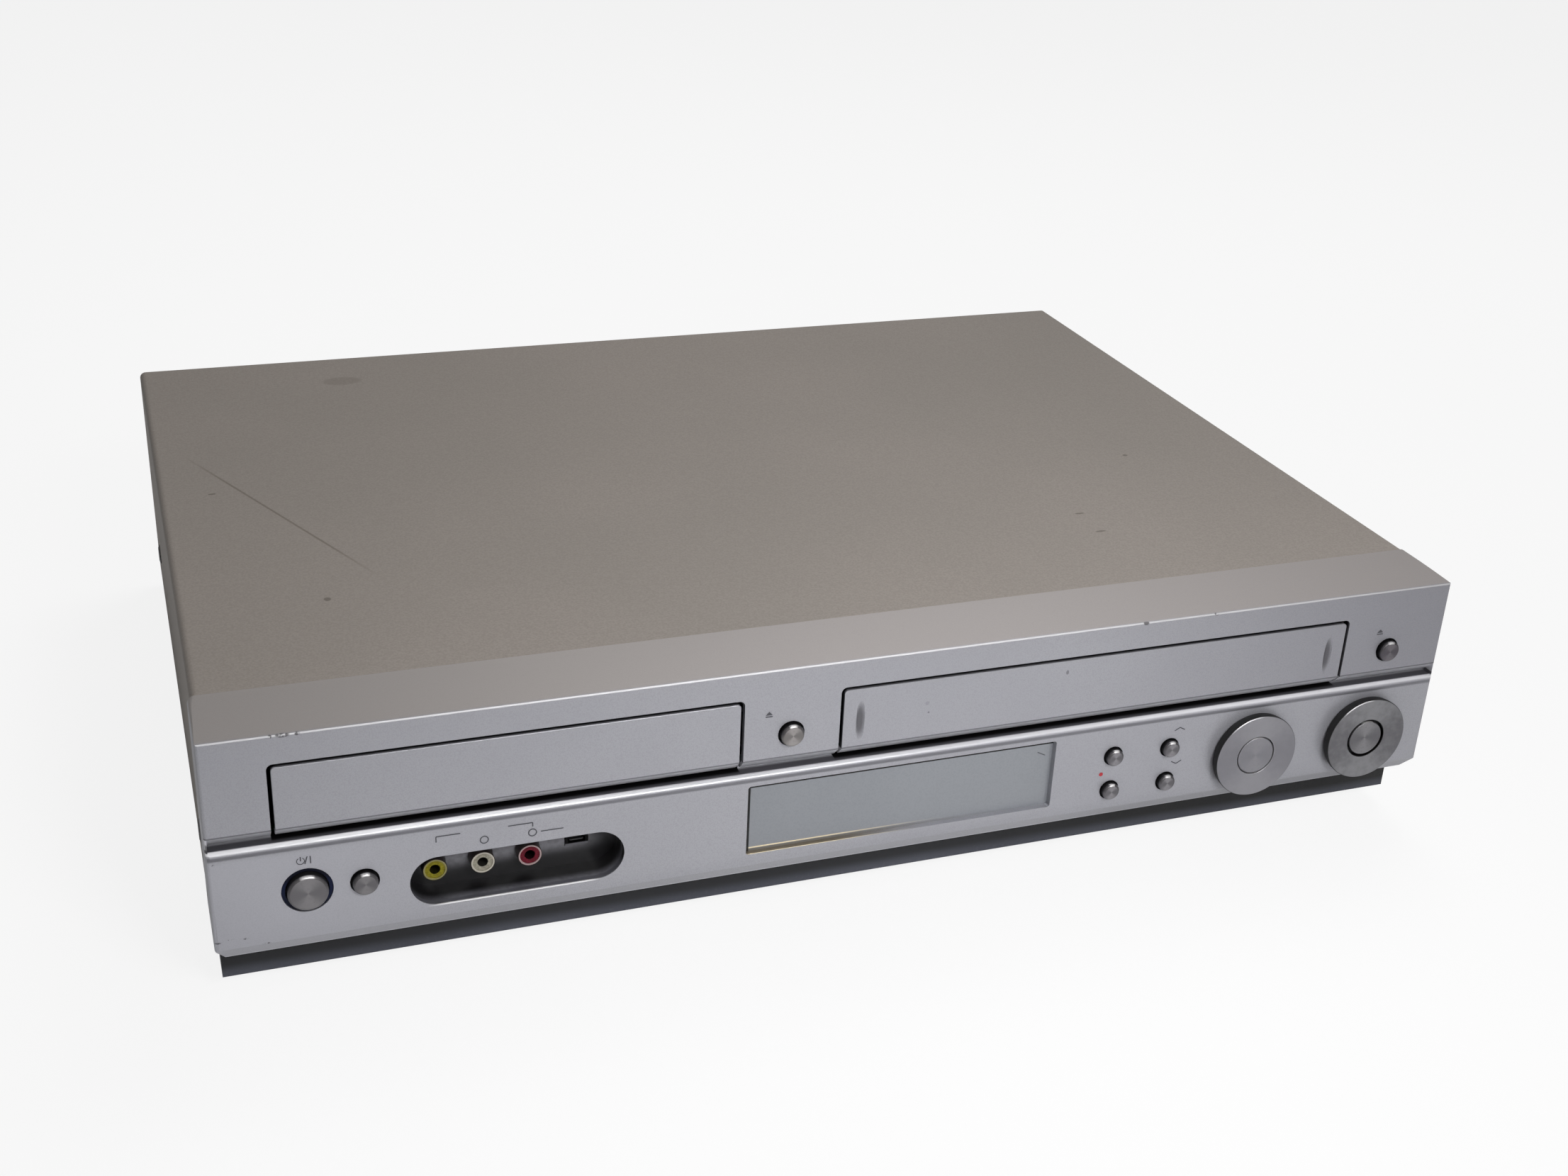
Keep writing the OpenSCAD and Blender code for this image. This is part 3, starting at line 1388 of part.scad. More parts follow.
module circuit_boards() {
  x0 = disc_x - 56;
  x1 = disc_x + 56;
  y0 = loader_y0 + 20;
  y1 = loader_y1 - 10;
  tx0 = tape_x - 84;
  tx1 = tape_x + 84;
  ty0 = deck_y0 + 16;
  ty1 = capstan_y - flywheel_r - 4;   // stops short of the flywheel
  color([0.14, 0.30, 0.18]) placed() {
    block([x0, y0, low_board_z], [x1, y1, low_board_z + board_t]);
    standoffs([for (x = [x0 + 5, x1 - 5], y = [y0 + 5, y1 - 5]) [x, y]]);
    for (c = [[-30, 40, 28], [14, 42, 22], [-34, 90, 16], [10, 96, 14], [34, 120, 12]])
      block([disc_x + c[0] - c[2] / 2, y0 + c[1] - c[2] / 2, low_board_z],
            [disc_x + c[0] + c[2] / 2, y0 + c[1] + c[2] / 2, low_board_z + board_t + 3]);
    block([tx0, ty0, low_board_z], [tx1, ty1, low_board_z + board_t]);
    standoffs([for (x = [tx0 + 5, tx1 - 5], y = [ty0 + 5, ty1 - 5]) [x, y]]);
    for (c = [[-50, 36, 24], [0, 60, 18], [48, 50, 20]])
      block([tape_x + c[0] - c[2] / 2, ty0 + c[1] - c[2] / 2, low_board_z],
            [tape_x + c[0] + c[2] / 2, ty0 + c[1] + c[2] / 2, low_board_z + board_t + 3]);
  }
}

module power_board() {
  x0 = -half_w + 12;
  x1 = x0 + power_board_w;
  y0 = power_board_y0;
  top = low_board_z + board_t;
  fin_count = 7;
  color([0.62, 0.50, 0.26]) placed() {
    block([x0, y0, low_board_z], [x1, power_board_y1, top]);
    standoffs([for (x = [x0 + 5, x1 - 5], y = [y0 + 5, power_board_y1 - 5]) [x, y]]);
    block([x0 + 72, y0 + 8, top - eps], [x0 + 110, y0 + 42, top + 30]);
    block([x0 + 66, y0 + 14, top + 8], [x0 + 116, y0 + 36, top + 22]);
    for (c = [[24, 20, 11], [50, 18, 8], [50, 38, 6], [24, 46, 6]])
      rod_z(x0 + c[0], y0 + c[1], c[2], top - eps, top + 28);
    for (i = [0:fin_count - 1])
      block([x0 + 64 + i * 6, y0 + 50, top - eps], [x0 + 66 + i * 6, y0 + 64, top + 26]);
    block([x0 + 64, y0 + 56, top - eps], [x0 + 66 + (fin_count - 1) * 6, y0 + 58.5, top + 26]);
  }
}

module rear_sockets() {
  x0 = av_x0 - 8;
  x1 = av_x0 + (av_cols - 1) * socket_pitch + 8;
  z0 = av_z - socket_pitch - 8;
  z1 = av_z + 8;
  body_y = back_y - sheet;
  color([0.12, 0.12, 0.13]) placed() difference() {
    union() {
      block([x0, body_y - 12, z0], [x1, body_y, z1]);
      for (x = [x0 + 10, x1 - 4])
        block([x - 3, body_y - 14, floor_z], [x + 3, body_y - 10, z0 + 2]);
      for (c = [0:av_cols - 1], r = [0, 1])
        rod_y(av_x0 + c * socket_pitch, av_z - r * socket_pitch, jack_dia / 2,
              body_y - 1, body_d + rear_proud - 1.5);
    }
    for (c = [0:av_cols - 1], r = [0, 1])
      rod_y(av_x0 + c * socket_pitch, av_z - r * socket_pitch, jack_bore / 2,
            body_y - 6, body_d + rear_proud);
  }
}

module antenna_unit() {
  body_y = back_y - sheet;
  color([0.74, 0.75, 0.76]) placed() difference() {
    union() {
      block([antenna_x - 22, body_y - 48, antenna_z - 34], [antenna_x + 18, body_y, antenna_z + 12]);
      for (x = [antenna_x - 18, antenna_x + 14])
        block([x - 3, body_y - 8, floor_z], [x + 3, body_y - 4, antenna_z - 33]);
      for (i = [0, 1])
        rod_y(antenna_x, antenna_z - i * 22, 6, body_y - 1, back_y + 1.5);
      for (i = [0, 1])
        rod_y(antenna_x, antenna_z - i * 22, 4.8, body_y - 1, body_d + rear_proud);
    }
    rod_y(antenna_x, antenna_z, 1.2, body_y + 1, body_d + rear_proud + 1);
    difference() {
      rod_y(antenna_x, antenna_z - 22, 4.1, body_y + 2, body_d + rear_proud + 1);
      rod_y(antenna_x, antenna_z - 22, 1.15, body_y + 1, body_d + rear_proud - 1);
    }
  }
}

module mains_inlet() {
  y1 = back_y + 1.6;
  y0 = back_y - sheet - 16;
  pin_gap = 8.6;
  color([0.09, 0.09, 0.10]) placed() translate([inlet_x, 0, inlet_z]) difference() {
    union() {
      backwards(back_y, y1) round_rect(inlet_w + 8, inlet_h + 8, 2.5);
      backwards(y0, back_y + eps) round_rect(inlet_w + 4, inlet_h + 4, 2);
      block([-inlet_w / 2, y0, low_board_z + board_t - inlet_z], [inlet_w / 2, y0 + 3, 0]);
    }
    difference() {
      backwards(y0 + 3.5, y1 + 1) slot_outline([-(inlet_w - inlet_h) / 2, 0], [(inlet_w - inlet_h) / 2, 0], inlet_h / 2);
      for (i = [-1, 1])
        rod_y(i * pin_gap / 2, 0, 1.2, y0, y1 - 3);
    }
  }
}

module cooling_fan() {
  y1 = back_y - sheet;
  y0 = y1 - fan_t;
  r = fan_size / 2 - 1.5;
  color([0.08, 0.08, 0.09]) placed() translate([fan_x, 0, fan_z]) {
    difference() {
      backwards(y0, y1) round_rect(fan_size, fan_size, 4);
      rod_y(0, 0, r, y0 - 1, y1 + 1);
      for (i = [-1, 1], j = [-1, 1])
        rod_y(i * (fan_size / 2 - 5), j * (fan_size / 2 - 5), 2.2, y0 - 1, y1 + 1);
    }
    for (a = [0:90:270])
      rotate([0, a + 45, 0]) block([5, y1 - 3, -1.5], [r + 0.5, y1 - 0.5, 1.5]);
    rod_y(0, 0, 12, y1 - 3, y1 - 0.5);
    rod_y(0, 0, 1.5, y0 + 3, y1 - 2.9);
  }
}

module fan_rotor() {
  y1 = back_y - sheet - 3.6;
  y0 = back_y - sheet - fan_t + 1;
  blade_r = fan_size / 2 - 3;
  color([0.10, 0.10, 0.11]) placed() translate([fan_x, 0, fan_z]) difference() {
    union() {
      rod_y(0, 0, 11, y0, y1);
      for (a = [0:51.43:359])
        rotate([0, a, 0]) translate([0, (y0 + y1) / 2, 0]) rotate([0, 0, 0])
          rotate([35, 0, 0]) block([9, -4.2, -0.6], [blade_r, 4.2, 0.6]);
    }
    rod_y(0, 0, 1.5 + run_fit, y0 + 1.5, y1 + 1);
  }
}

top_cover();
bottom_chassis();
rear_panel();
front_bezel();
feet();
cover_screws();
tray_door();
cassette_flap();
flap_spring();
display_window();
display_module();
jack_recess();
front_jacks();
camera_socket();
power_ring();
power_button();
scan_button();
tray_button();
eject_button();
source_button();
record_button();
channel_up_button();
channel_down_button();
jog_disc();
jog_button();
menu_ring();
menu_gimbal();
menu_button();
switch_boards();
loader_frame();
disc_tray();
tray_gear();
motor_gear();
loading_motor();
traverse_frame();
turntable();
pickup();
clamp_bridge();
disc_clamper();
deck_chassis();
lift_housing();
cassette_carrier();
drum_base();
head_drum();
supply_reel();
takeup_reel();
capstan();
pinch_arm();
pinch_roller();
left_tape_guide();
right_tape_guide();
tape_heads();
circuit_boards();
power_board();
rear_sockets();
antenna_unit();
mains_inlet();
cooling_fan();
fan_rotor();
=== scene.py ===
import math

import bmesh
import bpy
from mathutils import Matrix, Vector


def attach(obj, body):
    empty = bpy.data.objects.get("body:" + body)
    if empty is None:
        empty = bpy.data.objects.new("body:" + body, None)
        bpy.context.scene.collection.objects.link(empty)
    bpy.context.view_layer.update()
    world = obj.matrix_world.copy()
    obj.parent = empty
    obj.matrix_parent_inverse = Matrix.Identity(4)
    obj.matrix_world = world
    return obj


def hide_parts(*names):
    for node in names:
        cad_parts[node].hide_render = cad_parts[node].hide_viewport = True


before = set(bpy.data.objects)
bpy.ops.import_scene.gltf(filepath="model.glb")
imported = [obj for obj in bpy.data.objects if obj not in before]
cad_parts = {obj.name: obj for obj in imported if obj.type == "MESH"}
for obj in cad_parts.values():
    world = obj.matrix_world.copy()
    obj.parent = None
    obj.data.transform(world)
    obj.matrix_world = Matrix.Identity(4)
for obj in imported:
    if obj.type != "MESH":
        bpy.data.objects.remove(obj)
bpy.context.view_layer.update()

# ---- Camera --------------------------------------------------------------------------
# A long lens in front of the left end and above the player. The three directions are the
# picture's right, its top, and the way back to the lens.
azimuth, elevation, roll = math.radians(-20.68), math.radians(25.62), math.radians(2.72)
back = Vector((math.sin(azimuth) * math.cos(elevation),
               -math.cos(azimuth) * math.cos(elevation), math.sin(elevation)))
level = (-back).cross(Vector((0, 0, 1))).normalized()
upright = level.cross(-back)
right = math.cos(roll) * level + math.sin(roll) * upright
top = math.cos(roll) * upright - math.sin(roll) * level
lens = bpy.data.cameras.new("camera")
lens.sensor_width, lens.lens, lens.clip_start = 36.0, 43.96, 0.01
camera = bpy.data.objects.new("camera", lens)
bpy.context.scene.collection.objects.link(camera)
turn = Matrix((right, top, back)).transposed().to_4x4()
camera.matrix_world = Matrix.Translation((-0.2253, -0.65832, 0.38012)) @ turn
bpy.context.scene.camera = camera
bpy.context.scene.view_settings.view_transform = "Standard"


# ---- Studio: light and floor ---------------------------------------------------------
# A white room with a soft lamp over the back, a small one in front of the middle, a long
# strip that draws the bright line on the rolled edges, and a weak lamp at the left.
class Tap:
    """A node socket in a material. Sums of taps add Math nodes, node() adds any other."""

    def __init__(self, tree, out=None):
        self.tree, self.out = tree, out

    def node(self, kind, settings=None, inputs=None, output=0):
        made = self.tree.nodes.new(kind)
        for name, value in (settings or {}).items():
            setattr(made, name, value)
        for name, value in (inputs or {}).items():
            if isinstance(value, Tap):
                self.tree.links.new(value.out, made.inputs[name])
            else:
                made.inputs[name].default_value = value
        return Tap(self.tree, made.outputs[output])

    def maths(self, operation, first, second=0.0):
        return self.node("ShaderNodeMath", {"operation": operation}, {0: first, 1: second})

    def __add__(self, other):
        return self.maths("ADD", self, other)

    def __sub__(self, other):
        return self.maths("SUBTRACT", self, other)

    def __rsub__(self, other):
        return self.maths("SUBTRACT", other, self)

    def __mul__(self, other):
        return self.maths("MULTIPLY", self, other)

    def __truediv__(self, other):
        return self.maths("DIVIDE", self, other)

    def __pow__(self, other):
        return self.maths("POWER", self, other)

    __radd__, __rmul__ = __add__, __mul__

    def over(self, other):
        """The larger of the two, point by point."""
        return self.maths("MAXIMUM", self, other)

    def rise(self, low, high):
        """0 below low, 1 above high, and a smooth rise in between."""
        return self.node("ShaderNodeMapRange", {"interpolation_type": "SMOOTHSTEP"},
                         {"Value": self, "From Min": low, "From Max": high})

    def fall(self, low, high):
        """1 below low, 0 above high, and smooth in between."""
        return 1.0 - self.rise(low, high)

    def mix(self, first, second):
        """The first colour where this mask is 0, the second where it is 1."""
        return self.node("ShaderNodeMix", {"data_type": "RGBA"}, {0: self, 6: first, 7: second}, 2)

    def split(self):
        """The x, y and z of a place, as three taps."""
        parts = self.node("ShaderNodeSeparateXYZ", inputs={0: self}).out.node.outputs
        return [Tap(self.tree, part) for part in parts]

    def scaled(self, x, y, z):
        """A place stretched by these three, so that a grain on it runs one way."""
        return self.node("ShaderNodeVectorMath", {"operation": "MULTIPLY"}, {0: self, 1: (x, y, z)})

    def noise(self, scale, detail=2.0):
        """A soft grain, with this many lumps in a metre."""
        return self.node("ShaderNodeTexNoise",
                         inputs={"Vector": self, "Scale": scale, "Detail": detail})

    def cells(self, scale):
        """A grain of cells, with this many in a metre."""
        return self.node("ShaderNodeTexVoronoi", inputs={"Vector": self, "Scale": scale})

    def bump(self, depth, strength=1.0):
        """The relief of a grain, with its depth in metres."""
        return self.node("ShaderNodeBump",
                         inputs={"Height": self, "Distance": depth, "Strength": strength})

    def into(self, node, socket):
        """Links this tap to a socket of that node."""
        self.tree.links.new(self.out, node.inputs[socket])


def ink(red, green, blue):
    """A linear colour from the three numbers that a paint chart gives."""
    return tuple(((c / 255 + 0.055) / 1.055) ** 2.4 for c in (red, green, blue)) + (1.0,)


def finish(name, constants=None):
    """A material, its surface node with these constants, and the place of a point on a piece."""
    made = bpy.data.materials.new(name)
    made.use_nodes = True
    surface = made.node_tree.nodes["Principled BSDF"]
    for socket, value in (constants or {}).items():
        surface.inputs[socket].default_value = value
    return made, surface, Tap(made.node_tree).node("ShaderNodeTexCoord", output=3)


def piece(name, verts, faces, material, body=None, centre=(0, 0, 0), sharp=35.0):
    """A mesh with soft shading up to the sharp angle, its material and the body that carries it.
    Its points are given from the centre."""
    mesh = bpy.data.meshes.new(name)
    mesh.from_pydata([Vector(v) for v in verts], [], faces)
    form = bmesh.new()
    form.from_mesh(mesh)
    bmesh.ops.remove_doubles(form, verts=form.verts, dist=1e-7)
    bmesh.ops.recalc_face_normals(form, faces=form.faces)
    form.to_mesh(mesh)
    form.free()
    mesh.shade_smooth()
    mesh.set_sharp_from_angle(angle=math.radians(sharp))
    mesh.materials.append(material)
    made = bpy.data.objects.new(name, mesh)
    made.location = centre
    bpy.context.scene.collection.objects.link(made)
    made.modifiers.new("even_shading", "WEIGHTED_NORMAL").keep_sharp = True
    if body:
        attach(made, body)
    return made


def white_to_eye(tree):
    """1 for a ray from the lens, less off a shiny or clear surface, 0 for light on the object."""
    ways = Tap(tree).node("ShaderNodeLightPath").out.node.outputs
    shiny = Tap(tree, ways["Is Glossy Ray"]).over(Tap(tree, ways["Is Transmission Ray"]))
    return Tap(tree, ways["Is Camera Ray"]).over(shiny * 0.2)


world = bpy.data.worlds.new("white_room")
bpy.context.scene.world = world
world.use_nodes = True
sky = world.node_tree.nodes["Background"]
sky.inputs["Color"].default_value = (1.0, 1.0, 1.0, 1.0)
room_light = 0.108
(room_light + white_to_eye(world.node_tree) * (1.0 - room_light)).into(sky, "Strength")

for name, place, aim, wide, deep, watts, spread in (
        ("top", (0.5, 0.5, 1.3), (0.1, 0.05, 0.05), 0.8, 0.8, 8.3, 180),
        ("front", (0.12, -0.85, 0.55), (0.0, -0.163, 0.05), 0.3, 0.3, 0.7, 60),
        ("strip", (0.1, -1.05, 0.84), (0.0, -0.16, 0.06), 2.2, 0.22, 3.0, 180),
        ("left", (-0.9, -1.3, 0.7), (0.0, -0.163, 0.05), 0.8, 0.6, 0.9, 180)):
    lamp = bpy.data.lights.new(name, "AREA")
    lamp.shape, lamp.size, lamp.size_y, lamp.energy = "RECTANGLE", wide, deep, watts
    lamp.spread = math.radians(spread)
    holder = bpy.data.objects.new(name, lamp)
    holder.location = place
    holder.rotation_euler = (Vector(aim) - Vector(place)).to_track_quat("-Z", "Y").to_euler()
    bpy.context.scene.collection.objects.link(holder)

floor_white, surface, place = finish("floor_white", {"Roughness": 0.9})
place.noise(3.0).mix(ink(238, 238, 238), ink(242, 242, 242)).into(surface, "Base Color")
glow = place.node("ShaderNodeEmission", inputs={"Color": (1.0, 1.0, 1.0, 1.0)})
blend = place.node("ShaderNodeMixShader", inputs={
    0: white_to_eye(place.tree) * 0.86, 1: Tap(place.tree, surface.outputs[0]), 2: glow})
blend.into(place.tree.nodes["Material Output"], "Surface")
piece("floor", [(-4, -4, 0), (4, -4, 0), (4, 4, 0), (-4, 4, 0)], [(0, 1, 2, 3)],
               floor_white)


# ---- Top cover -----------------------------------------------------------------------
# One sheet of steel bent over the top and both sides, with matte taupe-grey paint that has
# a fine grain. It carries a long scratch, a few nicks and a rubbed spot on top.
def dress(material, *nodes):
    """These CAD nodes get the material."""
    for node in nodes:
        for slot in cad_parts[node].material_slots:
            slot.material = material


def soften(width, *nodes):
    """Rounds the sharp edges of these CAD nodes to this width in millimetres."""
    for node in nodes:
        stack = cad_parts[node].modifiers
        stack.new("one_skin", "WELD").merge_threshold = 2e-6
        flat = stack.new("flat_faces", "DECIMATE")
        flat.decimate_type, flat.angle_limit = "DISSOLVE", math.radians(1.0)
        edge = stack.new("edges", "BEVEL")
        edge.width, edge.segments, edge.miter_outer = width / 1000, 2, "MITER_ARC"
        edge.limit_method, edge.angle_limit = "ANGLE", math.radians(40)
        stack.new("even_shading", "WEIGHTED_NORMAL").weight = 80


def spots(x, y, *ovals):
    """1 inside any of these ovals, each a centre and a half size, 0 outside them all."""
    inside = None
    for (centre_x, centre_y), (half_x, half_y) in ovals:
        across, along = (x - centre_x) / half_x, (y - centre_y) / half_y
        oval = (across * across + along * along).fall(0.45, 1.1)
        inside = oval if inside is None else inside.over(oval)
    return inside


def scratch(x, y, start, end, width, fade=0.01):
    """1 along a straight scratch between two points, 0 off it."""
    run = Vector(end) - Vector(start)
    way = run.normalized()
    along = (x - start[0]) * way[0] + (y - start[1]) * way[1]
    off = (x - start[0]) * way[1] - (y - start[1]) * way[0]
    ends = along.rise(0.0, fade) * along.fall(run.length - fade, run.length)
    return off.maths("ABSOLUTE", off).fall(width * 0.3, width) * ends


cover_paint, surface, place = finish("cover_paint", {"IOR": 1.45})
x, y = place.split()[:2]
grain = place.noise(1500.0, 3.0)
cloud = place.noise(7.0, 3.0)
paint = cloud.rise(0.3, 0.7).mix(ink(145, 138, 131), ink(151, 143, 136))
paint = (grain.rise(0.35, 0.65) * 0.4).mix(paint, ink(127, 119, 113))
rubbed = spots(x, y, ((-0.1335, 0.1290), (0.009, 0.0055))) * 0.28
long_scratch = scratch(x, y, (-0.2060, 0.0640), (-0.1450, -0.0735), 0.00065, 0.045) * 0.6
paint = rubbed.over(long_scratch).mix(paint, ink(92, 82, 72))
nicks = spots(x, y, ((-0.1668, -0.0804), (0.0013, 0.0015)), ((-0.1956, 0.0173), (0.0016, 0.0007)),
              ((0.1114, -0.0766), (0.0022, 0.0007)), ((0.1115, -0.0934), (0.0024, 0.0007)),
              ((0.1577, -0.0273), (0.0012, 0.0010)))
(nicks * 0.65).mix(paint, ink(80, 72, 64)).into(surface, "Base Color")
(0.46 + grain * 0.14 + cloud * 0.06).into(surface, "Roughness")
grain.bump(0.00005, 0.7).into(surface, "Normal")
dress(cover_paint, "top_cover")
soften(0.2, "top_cover")

# ---- Chassis and back panel ----------------------------------------------------------
# A folded steel pan with vent slots, and a flat panel with the cut-outs for the sockets.
# Both have thin dark blue-grey paint over the zinc. The pan's front carries painted shade, dark
# towards its top under the moulding and a little darker towards the right.
chassis_paint, surface, place = finish("chassis_paint", {"Metallic": 0.1})
x, y, z = place.split()
fleck = place.noise(900.0, 2.0)
haze = place.noise(12.0, 3.0)
steel = haze.rise(0.3, 0.7).mix(ink(58, 60, 69), ink(68, 70, 79))
steel = (fleck.rise(0.5, 0.75) * 0.4).mix(steel, ink(80, 82, 90))
on_front = y.fall(-0.1475, -0.1465)
# Painted shade on the pan's front, darkest at its top under the moulding and towards the right
under_lip_shade = (z.rise(0.0074, 0.0120) * 0.9 + x.rise(0.02, 0.18) * 0.2) * on_front
under_lip_shade.mix(steel, ink(9, 9, 12)).into(surface, "Base Color")
(0.42 + fleck * 0.2).into(surface, "Roughness")
fleck.bump(0.00002, 0.5).into(surface, "Normal")
dress(chassis_paint, "bottom_chassis", "rear_panel")
soften(0.2, "rear_panel")

# ---- Feet ----------------------------------------------------------------------------
# Four moulded rubber feet, each screwed up into the floor of the chassis, with dust in the
# grain of the rubber.
foot_rubber, surface, place = finish("foot_rubber", {"Specular IOR Level": 0.3})
dust = place.noise(300.0, 3.0)
dust.rise(0.4, 0.7).mix(ink(38, 38, 40), ink(52, 51, 50)).into(surface, "Base Color")
(0.7 + dust * 0.2).into(surface, "Roughness")
dust.bump(0.00005, 0.5).into(surface, "Normal")
dress(foot_rubber, "feet")

# ---- Cover screws --------------------------------------------------------------------
# Low-headed steel screws in black zinc, a little worn at their slots, hold the cover at its
# sides and its back.
screw_zinc, surface, place = finish("screw_zinc", {"Metallic": 0.8})
worn = place.noise(1200.0, 2.0)
worn.rise(0.4, 0.7).mix(ink(60, 60, 62), ink(96, 95, 94)).into(surface, "Base Color")
(0.35 + worn * 0.25).into(surface, "Roughness")
worn.bump(0.00002, 0.4).into(surface, "Normal")
dress(screw_zinc, "cover_screws")

# ---- Front moulding ------------------------------------------------------------------
# One plastic moulding in silver paint with a metallic flake, and the two doors that match
# it. A groove parts the upper face from the lower panel, whose upper edge is a roll with a
# painted highlight. Painted light and shade lie in the groove and over parts of the face. The
# gaps round the doors are bare black plastic and painted shade, and the top edge carries a
# painted highlight and chips.
face, top_edge, crease_height = -0.163, 0.0976, 0.0656
front_silver, surface, place = finish("front_silver")
x, y, z = place.split()
flake = place.cells(2600.0)
drift = place.noise(14.0, 2.0)
silver = flake.rise(0.1, 0.9).mix(ink(168, 168, 174), ink(158, 158, 164))
silver = (drift.rise(0.35, 0.7) * 0.35).mix(silver, ink(154, 154, 161))
# Painted shade over the upper face towards its right end
upper_right_shade = x.rise(0.04, 0.215) * z.rise(0.0640, 0.0665)
silver = (upper_right_shade * 0.5).mix(silver, ink(128, 127, 134))
# Painted light on the top face: a warmer tone, paler at the left
top_face_light = y.rise(face + 0.0002, face + 0.0015) * z.rise(top_edge - 0.0002, top_edge)
silver = (top_face_light * 0.8).mix(
    silver, x.rise(-0.12, -0.03).mix(ink(163, 156, 151), ink(155, 148, 144)))
# Painted light on the lower panel towards its left end
lower_left_light = z.fall(0.0560, 0.0585) * x.fall(-0.205, -0.120)
silver = (lower_left_light * 0.5).mix(silver, ink(184, 184, 192))
from_edge = (y - face) + (top_edge - z)
# A painted highlight along the top edge
silver = (from_edge.fall(0.00022, 0.00045) * 0.9).mix(silver, ink(238, 237, 236))
# The chamfer under the lower panel: painted shade growing down it and towards the right, and a
# painted light band along its lower edge
silver = (z.fall(0.0209, 0.0250) * 0.08).mix(silver, ink(112, 112, 118))
silver = (z.fall(0.0210, 0.0218) * 0.7).mix(silver, ink(210, 210, 216))
chamfer_right_shade = x.rise(0.06, 0.10) * z.fall(0.0250, 0.0262)
silver = (chamfer_right_shade * 0.3).mix(silver, ink(112, 112, 118))
# The roll on the lower panel's upper edge with its painted highlight, and the painted shade
# under it on the panel
roll = z.rise(0.05955, 0.0603) * z.fall(0.0609, 0.0610) * y.fall(-0.1623, -0.1617)
gleam = x.rise(0.02, 0.15).mix(ink(200, 200, 204), ink(216, 216, 220))
silver = (roll * 0.95).mix(silver, x.rise(-0.15, -0.05).mix(ink(244, 244, 247), gleam))
under_roll = z.rise(0.0574, 0.0583) * z.fall(0.0590, 0.0596) * y.fall(-0.1628, -0.1626)
silver = (under_roll * 0.85).mix(silver, ink(112, 112, 118))
# The groove: painted light on the slope over it, painted shade in the trough, and outside the
# bays a painted reflection of the slope on the trough's floor
tray_bay = x.rise(-0.1958, -0.1956) * x.fall(-0.0496, -0.0494)
tape_bay = x.rise(-0.0171, -0.0169) * x.fall(0.1743, 0.1745)
bays = tray_bay.over(tape_bay)
under_bevel = z.fall(0.0620, 0.0623)
trough_shade = under_bevel * (1.0 - (1.0 - bays) * y.rise(-0.1592, -0.1577))
slope_light = z.rise(0.0615, 0.0650).mix(ink(182, 182, 187), ink(214, 214, 220))
groove = z.fall(0.0654, crease_height) * z.rise(0.0603, 0.0605)
groove = groove * z.rise(0.0609, 0.0611).over(y.rise(-0.1620, -0.1616))
silver = groove.mix(silver, trough_shade.mix(slope_light, ink(90, 89, 94)))
# Painted shade along the crease over the groove
crease_shade = z.rise(0.06545, 0.0657) * z.fall(0.0660, 0.0662)
silver = (crease_shade * 0.65).mix(silver, ink(70, 69, 73))
# Painted shade that carries the groove's dark band over the left end cap
end_cap_shade = z.rise(0.0607, 0.0612) * z.fall(0.0634, 0.0642) * y.fall(-0.1626, -0.1620)
end_cap_shade = end_cap_shade * x.rise(-0.2150, -0.2144) * x.fall(-0.2126, -0.2122)
silver = (end_cap_shade * 0.85).mix(silver, ink(64, 63, 68))
# Painted shade on the edges of the two bays, the bare black plastic inside them, and painted
# shade, nearly black, in the groove under the doors
under_lintel = z.fall(0.0968, 0.0971)
bay_edge_shade = y.rise(-0.16295, -0.1622) * z.rise(0.0658, 0.0662) * under_lintel
silver = (bay_edge_shade * bays * 0.75).mix(silver, ink(62, 60, 64))
bare_black_and_shade = y.rise(-0.1621, -0.1618) * z.rise(0.0650, 0.0660)
# Painted shade in the groove under the doors
below = under_bevel * y.rise(-0.1614, -0.1594) * z.rise(0.0603, 0.0605)
bare_black_and_shade = bare_black_and_shade.over(below) * bays * under_lintel
silver = bare_black_and_shade.mix(silver, ink(10, 9, 10))
# The wall of the recess's opening: painted light low down and painted shade at its top
cup_edge = y.rise(-0.1628, -0.1625) * z.rise(0.0280, 0.0281) * z.fall(0.0499, 0.0500)
cup_edge = cup_edge * x.rise(-0.1580, -0.1579) * x.fall(-0.0860, -0.0859)
silver = cup_edge.mix(silver, z.rise(0.0340, 0.0380).mix(ink(108, 108, 116), ink(44, 42, 42)))
# Chips on the top edge, scuffs at the lower left corner, and specks on the doors
chips = spots(x, from_edge, ((-0.1905, 0.0), (0.0024, 0.0010)), ((-0.1862, 0.0), (0.0010, 0.0009)),
              ((0.0920, 0.0), (0.0013, 0.0009)), ((0.1190, 0.0), (0.0010, 0.0009)),
              ((-0.1940, 0.0), (0.0007, 0.0009)))
scuffs = spots(x, z, ((-0.2138, 0.0290), (0.0011, 0.0003)), ((-0.2099, 0.0297), (0.0012, 0.0003)),
               ((-0.2056, 0.0292), (0.0010, 0.0004)), ((-0.1998, 0.0264), (0.0015, 0.0003)),
               ((-0.1995, 0.0245), (0.0006, 0.0003)), ((-0.2130, 0.0566), (0.0005, 0.0004)))
ragged = place.noise(900.0, 2.0).rise(0.38, 0.56)
silver = (chips.over(scuffs) * ragged * 0.85).mix(silver, ink(66, 63, 64))
specks = spots(x, z, ((0.0641, 0.0827), (0.0006, 0.0009)), ((0.0142, 0.0748), (0.0004, 0.0004)))
specks = specks.over(spots(x, z, ((0.0135, 0.0783), (0.0008, 0.0008))) * 0.4)
silver = (specks * 0.6).mix(silver, ink(84, 83, 88))
